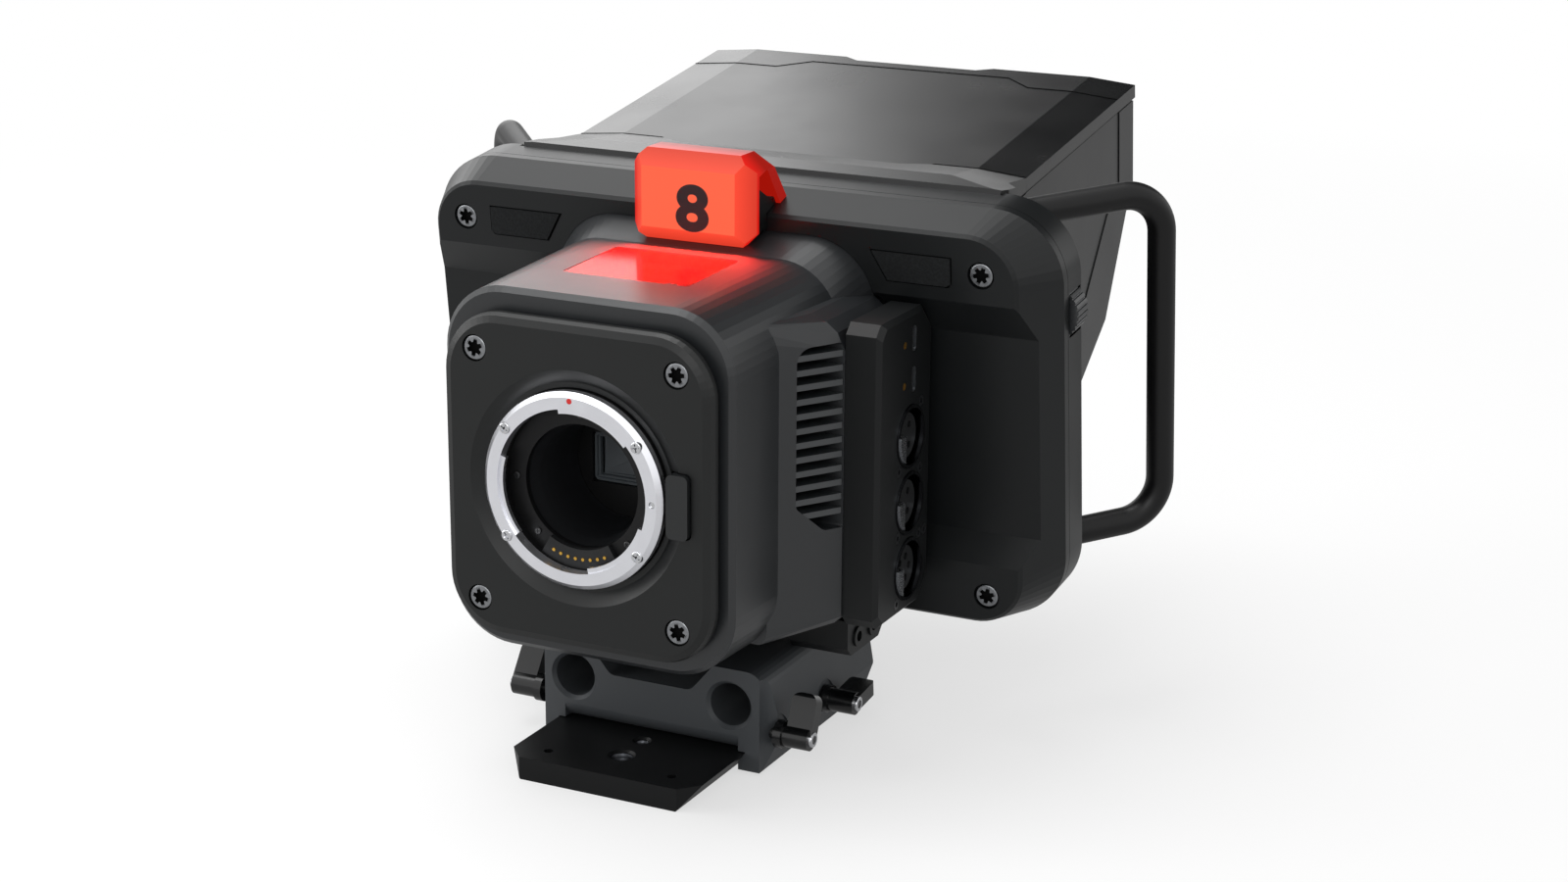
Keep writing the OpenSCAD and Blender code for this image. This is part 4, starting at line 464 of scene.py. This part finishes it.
tint.color_ramp.elements[0].color, tint.color_ramp.elements[1].color = rgb("#0a1014"), rgb("#101820")
skin = add(tree, "ShaderNodeBsdfPrincipled", {"Base Color": tint.outputs[0]}, in_Roughness=0.04,
    in_Specular_IOR_Level=0.6)
add(tree, "ShaderNodeOutputMaterial", {"Surface": skin.outputs[0]})
dress(coated_glass, "sensor_glass")


# Front plate and lens block. Die-cast shells, powder coated in fine satin black. The coat
# has a tiny orange-peel grain, which spreads the lamps into broad soft greys.
def powder_coat(name, colour, roughness=0.4, grain_mm=0.45, depth_mm=0.02, specular=0.3):
    material, tree = new_material(name)
    place = add(tree, "ShaderNodeTexCoord")
    # The real grain is 0.1 to 0.2 mm; it is drawn at 0.45 mm so that some of it shows.
    grain = add(tree, "ShaderNodeTexNoise", {"Vector": place.outputs["Object"]},
        in_Scale=1000 / grain_mm, in_Detail=2.0)
    cloud = add(tree, "ShaderNodeTexNoise", {"Vector": place.outputs["Object"]}, in_Scale=28.0,
        in_Detail=3.0)
    tone = add(tree, "ShaderNodeMapRange", {0: cloud.outputs[0]}, in_1=0.3, in_2=0.7,
        in_3=roughness - 0.03, in_4=roughness + 0.03)
    bump = add(tree, "ShaderNodeBump", {"Height": grain.outputs[0]}, in_Strength=0.3,
        in_Distance=depth_mm / 1000)
    skin = add(tree, "ShaderNodeBsdfPrincipled",
        {"Roughness": tone.outputs[0], "Normal": bump.outputs[0]}, in_Base_Color=rgb(colour),
        in_Specular_IOR_Level=specular)
    add(tree, "ShaderNodeOutputMaterial", {"Surface": skin.outputs[0]})
    return material


dress(powder_coat("fine satin powder coat", "#0d0f0f", 0.42, specular=0.4), "front_plate")
dress(powder_coat("satin powder coat", "#202224", 0.34, specular=0.6), "lens_block")

# Lens lock. A polished steel pin locks the lens, and a moulded button with a ribbed face
# draws it back. The button is ABS with a soft sheen.
dress(polished, "lens_lock_pin")
dress(powder_coat("moulded button plastic", "#161819", 0.38, specular=0.5), "lens_release_button")


# Plate and housing screws. Eight stainless pan heads with a six-lobe recess. The heads are
# faced on a lathe, so they are pale with a bright rim. The recess is the same steel, and its black is
# painted shade.
def lobe_head(radius, height, shank, length):
    head = drum(radius, height, 48, (0, 0, height / 2))
    # Slot 0 is for the head and slot 1 for the recess's painted shade; done() fills both.
    head.data.materials.append(None)
    head.data.materials.append(None)
    edit(head, lambda c, n: n.z > 0.9)
    bpy.ops.mesh.bevel(offset=height * 0.32, offset_type="OFFSET", segments=4, profile=0.6)
    edit(head, lambda c, n: n.z > 0.99)
    bpy.ops.mesh.inset(thickness=radius * 0.24)
    # The six lobes: every eighth pair of corners is drawn in, then the star is pushed down.
    edit(head, lambda c, n: c.z > height - 1e-6 and c.xy.length < radius * 0.69
        and math.cos(6 * math.atan2(c.y, c.x)) < -0.3, "VERT")
    bpy.ops.transform.resize(value=(0.74, 0.74, 1), center_override=(0, 0, height))
    edit(head, lambda c, n: c.z > height - 1e-6 and c.xy.length < radius * 0.69
        and math.cos(6 * math.atan2(c.y, c.x)) < -0.8, "VERT")
    bpy.ops.transform.resize(value=(0.9, 0.9, 1), center_override=(0, 0, height))
    edit(head, lambda c, n: n.z > 0.9 and c.xy.length < radius * 0.1)
    bpy.ops.mesh.poke()
    bpy.ops.mesh.extrude_region_move(TRANSFORM_OT_translate={"value": (0, 0, -height * 0.75)})
    bpy.ops.mesh.select_more()
    head.active_material_index = 1
    bpy.ops.object.material_slot_assign()
    edit(head, lambda c, n: n.z < -0.9 and c.z < 1e-5)
    bpy.ops.mesh.inset(thickness=radius - shank)
    bpy.ops.mesh.extrude_region_move(TRANSFORM_OT_translate={"value": (0, 0, -length)})
    return head


faced_steel = bright_metal("faced stainless steel", "#8f9194", 0.36, 0.5)
# The second skin is near-black painted shade for the screw recesses, not a finish of the steel.
screw_skins = (faced_steel, dull_black("painted screw recess shade", "#050505", 0.8, 0.1))
plate_screw = lobe_head(radius=0.0041, height=0.0022, shank=0.002, length=0.0065)
plate_spots = [at(x, 5.5, z) for z in (42, -42) for x in (36.4, -36.4)]
plate_seats = seats(plate_spots, (5, 20, 40, -12))
# The housing leans forward, so its screws' places are measured in its own tilted frame.
tilted = Matrix.Translation(at(0, 103.5, 0)) @ Matrix.Rotation(math.radians(6.5), 4, "X")
housing_spots = [Vector((x, 2.5, z)) / 1000 for z in (61, -54) for x in (98.1, -98.1)]
housing_screws = []
for i, place in enumerate(seats(housing_spots, (8, 33, 20, -15), tilted), 1):
    name = f"housing_screw_{i}"
    housing_screws.append(copy_of(plate_screw, name, screw_skins, "camera", place))
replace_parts(scatter(plate_screw, "plate_screw", screw_skins, plate_seats),
    "plate_screws")
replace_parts(housing_screws[0], "body_screws")

# Cooling. A black anodised aluminium heat sink carries the warmth out to the side vents,
# past a small nylon fan and the glass-fibre board. Cut fins keep bright edges; here the whole
# heat sink is painted a lighter grey, a painted highlight that stands in for those lit edges.
# The grey base colour is black anodising lightened by painted highlight for the lit fin edges.
fins_painted_lighter = powder_coat("black anodised fins painted lighter", "#303335", 0.3, 0.3, 0.006, 0.8)
board_green, tree = new_material("solder masked glass-fibre board")
place = add(tree, "ShaderNodeTexCoord")
tracks = add(tree, "ShaderNodeTexBrick", {"Vector": place.outputs["Object"]}, in_Scale=90.0,
    in_Color1=rgb("#12402c"), in_Color2=rgb("#0f3525"), in_Mortar=rgb("#1c5c40"))
skin = add(tree, "ShaderNodeBsdfPrincipled", {"Base Color": tracks.outputs["Color"]},
    in_Roughness=0.35)
add(tree, "ShaderNodeOutputMaterial", {"Surface": skin.outputs[0]})
dress(fins_painted_lighter, "heat_sink")
dress(nylon, "fan_frame", "fan_rotor")
dress(board_green, "main_board")


# Inlay. A smoked acrylic window set flush in the block's top, with a routed groove round
# it. It is as smooth as glass; its dark red colour is a painted reflection of the red tally lamp just
# behind it.
def acrylic(name, colour, roughness, specular=0.5):
    material, tree = new_material(name)
    place = add(tree, "ShaderNodeTexCoord")
    ripple = add(tree, "ShaderNodeTexNoise", {"Vector": place.outputs["Object"]}, in_Scale=45.0)
    bump = add(tree, "ShaderNodeBump", {"Height": ripple.outputs[0]}, in_Strength=0.1,
        in_Distance=0.00005)
    skin = add(tree, "ShaderNodeBsdfPrincipled", {"Normal": bump.outputs[0]},
        in_Base_Color=rgb(colour), in_Roughness=roughness, in_IOR=1.49,
        in_Specular_IOR_Level=specular)
    add(tree, "ShaderNodeOutputMaterial", {"Surface": skin.outputs[0]})
    return material


# The dark smoke is the acrylic's own; the red in the base colour is painted reflection of the tally
# lamp.
dress(acrylic("smoked acrylic window with painted tally reflection", "#4a1110", 0.12, 0.08), "top_inlay")

# Connector panels. Flat satin black plates on the block's flanks that carry the sound,
# network and video sockets. They are moulded smoother than the housing around them.
panel_plastic = powder_coat("moulded panel plastic", "#0b0d0e", 0.45, 0.35, 0.012, 0.3)
dress(panel_plastic, "audio_panel", "video_panel", "jack_block")
dress(bright_metal("black chromed shell", "#54565a", 0.16), "xlr_shells")
dress(nylon, "xlr_inserts")
latch_steel = bright_metal("nickelled latch steel", "#cfd1d4", 0.24)
dress(latch_steel, "xlr_latch_1", "xlr_latch_2", "xlr_latch_3")
dress(bright_metal("tinned steel sockets", "#a9acb0", 0.3), "usb_ports", "video_sockets")
dress(bright_metal("brass lock nuts", "#e0a648", 0.3), "usb_lock_nuts")
dress(black_steel, "flange_screws")

# Housing. Two moulded shells of glass-filled polycarbonate in satin black, tilted forward
# over the block and screwed together from the front. A very fine spark grain covers them.
dress(powder_coat("moulded polycarbonate", "#131516", 0.34, 0.5, 0.01, 0.3), "body_front_shell",
    "body_rear_shell")
mesh_pads, tree = new_material("microphone foam mesh")
place = add(tree, "ShaderNodeTexCoord")
# The foam's cells are 0.5 mm; they are drawn at 0.8 mm to show.
cells = add(tree, "ShaderNodeTexVoronoi", {"Vector": place.outputs["Object"]}, in_Scale=1000 / 0.8)
tint = add(tree, "ShaderNodeValToRGB", {0: cells.outputs["Distance"]})
tint.color_ramp.elements[0].color, tint.color_ramp.elements[1].color = rgb("#0c0d0e"), rgb("#1a1c1d")
bump = add(tree, "ShaderNodeBump", {"Height": cells.outputs["Distance"]}, in_Strength=0.3,
    in_Distance=0.0001)
skin = add(tree, "ShaderNodeBsdfPrincipled",
    {"Base Color": tint.outputs[0], "Normal": bump.outputs[0]}, in_Roughness=0.8,
    in_Specular_IOR_Level=0.2)
add(tree, "ShaderNodeOutputMaterial", {"Surface": skin.outputs[0]})
dress(mesh_pads, "mic_pads")

# Tally lamp. A translucent red acrylic cover over a row of lights, on a black foot. Lit, it
# glows orange in the middle of its face and a deeper red toward the rims.
dress(panel_plastic, "tally_base")
cover_low, cover_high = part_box("tally_cover")
lit_acrylic, tree = new_material("lit red acrylic")
place = add(tree, "ShaderNodeTexCoord")
middle = Vector(((cover_low.x + cover_high.x) / 2, cover_low.y, (cover_low.z + cover_high.z) / 2))
centre = add(tree, "ShaderNodeMapping", {"Vector": place.outputs["Object"]}, in_Location=-middle)
axes = add(tree, "ShaderNodeSeparateXYZ", {0: centre.outputs[0]})
rim_outside, rim_inside, deep_red_depth = -0.0222, -0.0202, 0.012
left = add(tree, "ShaderNodeMapRange", {0: axes.outputs["X"]}, in_1=rim_outside, in_2=rim_inside)
depth = add(tree, "ShaderNodeMapRange", {0: axes.outputs["Y"]}, in_1=0.0, in_2=deep_red_depth,
    in_3=1.0, in_4=0.0)
facing_out = add(tree, "ShaderNodeNewGeometry")
turn = add(tree, "ShaderNodeSeparateXYZ", {0: facing_out.outputs["Normal"]})
front = add(tree, "ShaderNodeMapRange", {0: turn.outputs["Y"]}, in_1=-0.5, in_2=-0.95)
centre_share = add(tree, "ShaderNodeMath", {0: left.outputs[0], 1: front.outputs[0]},
    operation="MULTIPLY")
glow_tint = add(tree, "ShaderNodeMix", {0: centre_share.outputs[0]}, data_type="RGBA",
    in_6=rgb("#fb2016"), in_7=rgb("#ff6646"))
glow_back = add(tree, "ShaderNodeMix", {0: depth.outputs[0], 7: glow_tint.outputs[2]},
    data_type="RGBA", in_6=rgb("#a01208"))
skin = add(tree, "ShaderNodeBsdfPrincipled", {"Emission Color": glow_back.outputs[2]},
    in_Base_Color=rgb("#200402"), in_Roughness=0.3, in_Emission_Strength=1.0,
    in_Specular_IOR_Level=0.2)
add(tree, "ShaderNodeOutputMaterial", {"Surface": skin.outputs[0]})
dress(lit_acrylic, "tally_cover")

# The cover's own glow is too weak to light the block, so a red lamp stands at its face,
# which neither the camera nor any gloss sees.
spill = bpy.data.lights.new("tally spill", "AREA")
spill.shape = "RECTANGLE"
spill.size, spill.size_y = 0.042, 0.02
spill.energy = 1.5
spill.color = (1.0, 0.045, 0.03)
spill_lamp = bpy.data.objects.new("tally spill", spill)
to_front = Matrix.Rotation(math.radians(-90), 4, "X")
spill_lamp.matrix_world = Matrix.Translation(at(2, 78.2, 75)) @ to_front
spill_lamp.visible_camera = spill_lamp.visible_glossy = False
bpy.context.scene.collection.objects.link(spill_lamp)

# Tally numeral. A plain bold eight, screen printed in black on the front of the cover.
# The ink is thin and satin, and its edges are crisp.
ink, tree = new_material("black screen ink")
place = add(tree, "ShaderNodeTexCoord")
weave = add(tree, "ShaderNodeTexNoise", {"Vector": place.outputs["Object"]}, in_Scale=1800.0)
tint = add(tree, "ShaderNodeValToRGB", {0: weave.outputs[0]})
tint.color_ramp.elements[0].color, tint.color_ramp.elements[1].color = rgb("#1a1e21"), rgb("#22272a")
skin = add(tree, "ShaderNodeBsdfPrincipled", {"Base Color": tint.outputs[0]}, in_Roughness=0.5,
    in_Specular_IOR_Level=0.2)
add(tree, "ShaderNodeOutputMaterial", {"Surface": skin.outputs[0]})
start()
bpy.ops.object.text_add(location=(0, 0, 0))
eight = bpy.context.active_object
eight.data.body = "8"
eight.data.align_x, eight.data.align_y = "CENTER", "CENTER"
eight.data.size = 1.0
eight.data.offset = 0.035
eight.data.extrude = 0.004
eight.data.resolution_u = 8
bpy.ops.object.convert(target="MESH")
eight = bpy.context.active_object
corners = [v.co for v in eight.data.vertices]
width, height = (max(c[i] for c in corners) - min(c[i] for c in corners) for i in (0, 1))
mid = Vector([(max(c[i] for c in corners) + min(c[i] for c in corners)) / 2 for i in range(3)])
numeral_width, numeral_height, flattening = 0.0124, 0.0161, 0.02
flat = Matrix.Diagonal((numeral_width / width, numeral_height / height, flattening, 1))
eight.data.transform(flat @ Matrix.Translation(-mid))
edit(eight, lambda c, n: True)
bpy.ops.mesh.remove_doubles(threshold=WELD)
bpy.ops.mesh.normals_make_consistent(inside=False)
done(eight, "tally_numeral", ink, "camera",
    Matrix.Translation(at(1.7, 79, 76.7)) @ FACING, smooth=0)

# Screen. A liquid crystal panel behind bonded glass, in a moulded surround on the back.
# Switched off, it is a deep even black under one clean reflection.
dress(panel_plastic, "screen_bezel")
dress(acrylic("gloss black acrylic", "#060607", 0.1), "lcd_panel")
pane, tree = new_material("bonded cover glass")
place = add(tree, "ShaderNodeTexCoord")
smear = add(tree, "ShaderNodeTexNoise", {"Vector": place.outputs["Object"]}, in_Scale=30.0,
    in_Detail=4.0)
tone = add(tree, "ShaderNodeMapRange", {0: smear.outputs[0]}, in_1=0.3, in_2=0.7, in_3=0.03,
    in_4=0.09)
skin = add(tree, "ShaderNodeBsdfPrincipled", {"Roughness": tone.outputs[0]},
    in_Base_Color=rgb("#07090b"), in_IOR=1.52)
add(tree, "ShaderNodeOutputMaterial", {"Surface": skin.outputs[0]})
dress(pane, "screen_glass")

# Dials and buttons. Knurled dials turned from aluminium and anodised black, and small
# moulded keys. The metal is glossier than the keys, so the knurl's ridges catch the light.
dress(powder_coat("anodised knurled aluminium", "#232527", 0.32, 0.3, 0.01, 0.8), "focus_dial",
    "brightness_dial", "contrast_dial")
dress(powder_coat("moulded key plastic", "#1b1d1f", 0.4, specular=0.4), "menu_button",
    "display_button", "function_button")

# Hood. Thin folding leaves of smooth satin ABS that shade the screen. They hinge on steel
# pins, and their flat faces hold long, even reflections.
dress(powder_coat("satin ABS roof sheet", "#0a0b0c", 0.25, 0.6, 0.001, 0.5), "hood_front_strip",
    "hood_top", "hood_rear_strip")
dress(powder_coat("satin ABS side sheet", "#121314", 0.34, 0.6, 0.002, 0.5), "hood_flap_left",
    "hood_flap_right")
dress(latch_steel, "hood_hinge_pins")

# Hood seams. The roof's front and rear edges meet their strips along a notched line, which
# is under half a millimetre wide and dark with shade. It is drawn as a thin bead of painted shade on
# that line.
# Near-black, nearly unlit material: painted shade for the open seam gaps.
seam_gap_shade = dull_black("painted seam gap shade", "#030303", 0.9, 0.05)
start()
seam = bpy.data.objects.new("hood_seams", nodes["hood_top"].data.copy())
bpy.context.scene.collection.objects.link(seam)
edit(seam, lambda c, n: True)
bpy.ops.mesh.remove_doubles(threshold=WELD)
edit(seam, lambda c, n: n.z > 0.6)
bpy.ops.mesh.region_to_loop()
bpy.ops.mesh.select_all(action="INVERT")
bpy.ops.mesh.delete(type="EDGE_FACE")
side_x = max(abs(v.x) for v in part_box("hood_top"))
edit(seam, lambda c, side: abs(c.x) > side_x - 0.0004, "EDGE")
bpy.ops.mesh.delete(type="EDGE")
start()
seam.select_set(True)
bpy.context.view_layer.objects.active = seam
bpy.ops.object.convert(target="CURVE")
seam = bpy.context.active_object
seam.data.bevel_depth = 0.00022
seam.data.bevel_resolution = 2
seam.data.use_fill_caps = True
bpy.ops.object.convert(target="MESH")
seam = bpy.context.active_object
done(seam, "hood_seams", seam_gap_shade, "camera", smooth=0)

# Handles. Steel loops under a thick rubber sleeve, bolted to bosses on the back of the
# housing. The rubber is matt, with a fine even pebble.
rubber = powder_coat("matt grip rubber", "#0b0b0c", 0.4, 0.9, 0.03, 0.32)
dress(rubber, "handle_left", "handle_right")
dress(panel_plastic, "handle_bosses")

# Foot. A cast and anodised aluminium bracket slides on a dovetail plate for the tripod.
# The cast part is greyer and softly blasted; the milled plate is darker with sharp edges.
dress(powder_coat("blasted anodised casting", "#3a3d40", 0.5, 0.5, 0.03, 0.5), "base_bracket")
dress(powder_coat("milled anodised plate", "#090a0b", 0.42, 0.4, 0.008, 0.25), "tripod_plate")


# Threads. The tripod holes are tapped three eighths of an inch with sixteen turns to the
# inch, and a quarter inch with twenty. They are drawn as rings; bolts have rubbed them.
def thread(name, radius, pitch, centre_y):
    low, high, crest, play = 0.0001, 0.0069, 0.0003, 0.00002
    profile = [(radius + play, 0, high)]
    for turn in range(int(0.0066 / pitch)):
        z = 0.0068 - pitch * turn
        profile += [(radius - crest, 0, z - pitch / 2), (radius - play, 0, z - pitch)]
    profile.append((radius + play, 0, low))
    place = Matrix.Translation((0, centre_y, 0))
    return done(lathe(profile, (0, 0, 1), 64), name, worn_thread, "tripod_plate",
        place, smooth=25)


worn_thread = bright_metal("worn anodised thread", "#4c4e52", 0.35)
thread("thread_three_eighths", radius=0.00397, pitch=0.0015875, centre_y=0.0)
thread("thread_quarter", radius=0.00255, pitch=0.00127, centre_y=0.014)

# Clamp levers. Gloss black moulded wings on the bracket's four clamping bolts, each with a
# bright hexagon socket at its tip, which is the end of the steel bolt itself.
dress(powder_coat("gloss black lever nylon", "#0a0b0c", 0.2, 0.8, 0.01, 0.6),
    "clamp_knob_front_right", "clamp_knob_rear_right", "clamp_knob_front_left",
    "clamp_knob_rear_left")
tip = drum(0.00262, 0.0012, 36, (0, 0, 0))
edit(tip, lambda c, n: n.z > 0.9)
bpy.ops.mesh.bevel(offset=0.0003, offset_type="OFFSET", segments=2)
edit(tip, lambda c, n: n.z > 0.99)
bpy.ops.mesh.inset(thickness=0.0007)
# The socket: between its six corners the round ring is drawn in to a hexagon's flats.
for corner in range(36):
    angle = corner * math.tau / 36
    flat = math.cos(math.pi / 6) / math.cos((angle % (math.pi / 3)) - math.pi / 6)
    edit(tip, lambda c, n: c.z > 0.00059 and c.xy.length < 0.0017
        and abs(math.remainder(math.atan2(c.y, c.x) - angle, math.tau)) < 0.02, "VERT")
    bpy.ops.transform.resize(value=(flat, flat, 1), center_override=(0, 0, 0))
edit(tip, lambda c, n: n.z > 0.99 and c.xy.length < 0.0002)
bpy.ops.mesh.extrude_region_move(TRANSFORM_OT_translate={"value": (0, 0, -0.0009)})


def tip_place(side, y):
    outward = Matrix.Rotation(math.radians(90 * side), 4, "Y")
    return Matrix.Translation(at(side * 57.95, y, -94.6)) @ outward


front_bolt, rear_bolt = 58, 94
for name, side, y in (("rear_right", 1, rear_bolt), ("front_left", -1, front_bolt),
        ("rear_left", -1, rear_bolt)):
    copy_of(tip, "bolt_tip_" + name, polished, "clamp_knob_" + name,
        tip_place(side, y))
done(tip, "bolt_tip_front_right", polished, "clamp_knob_front_right",
    tip_place(1, front_bolt))
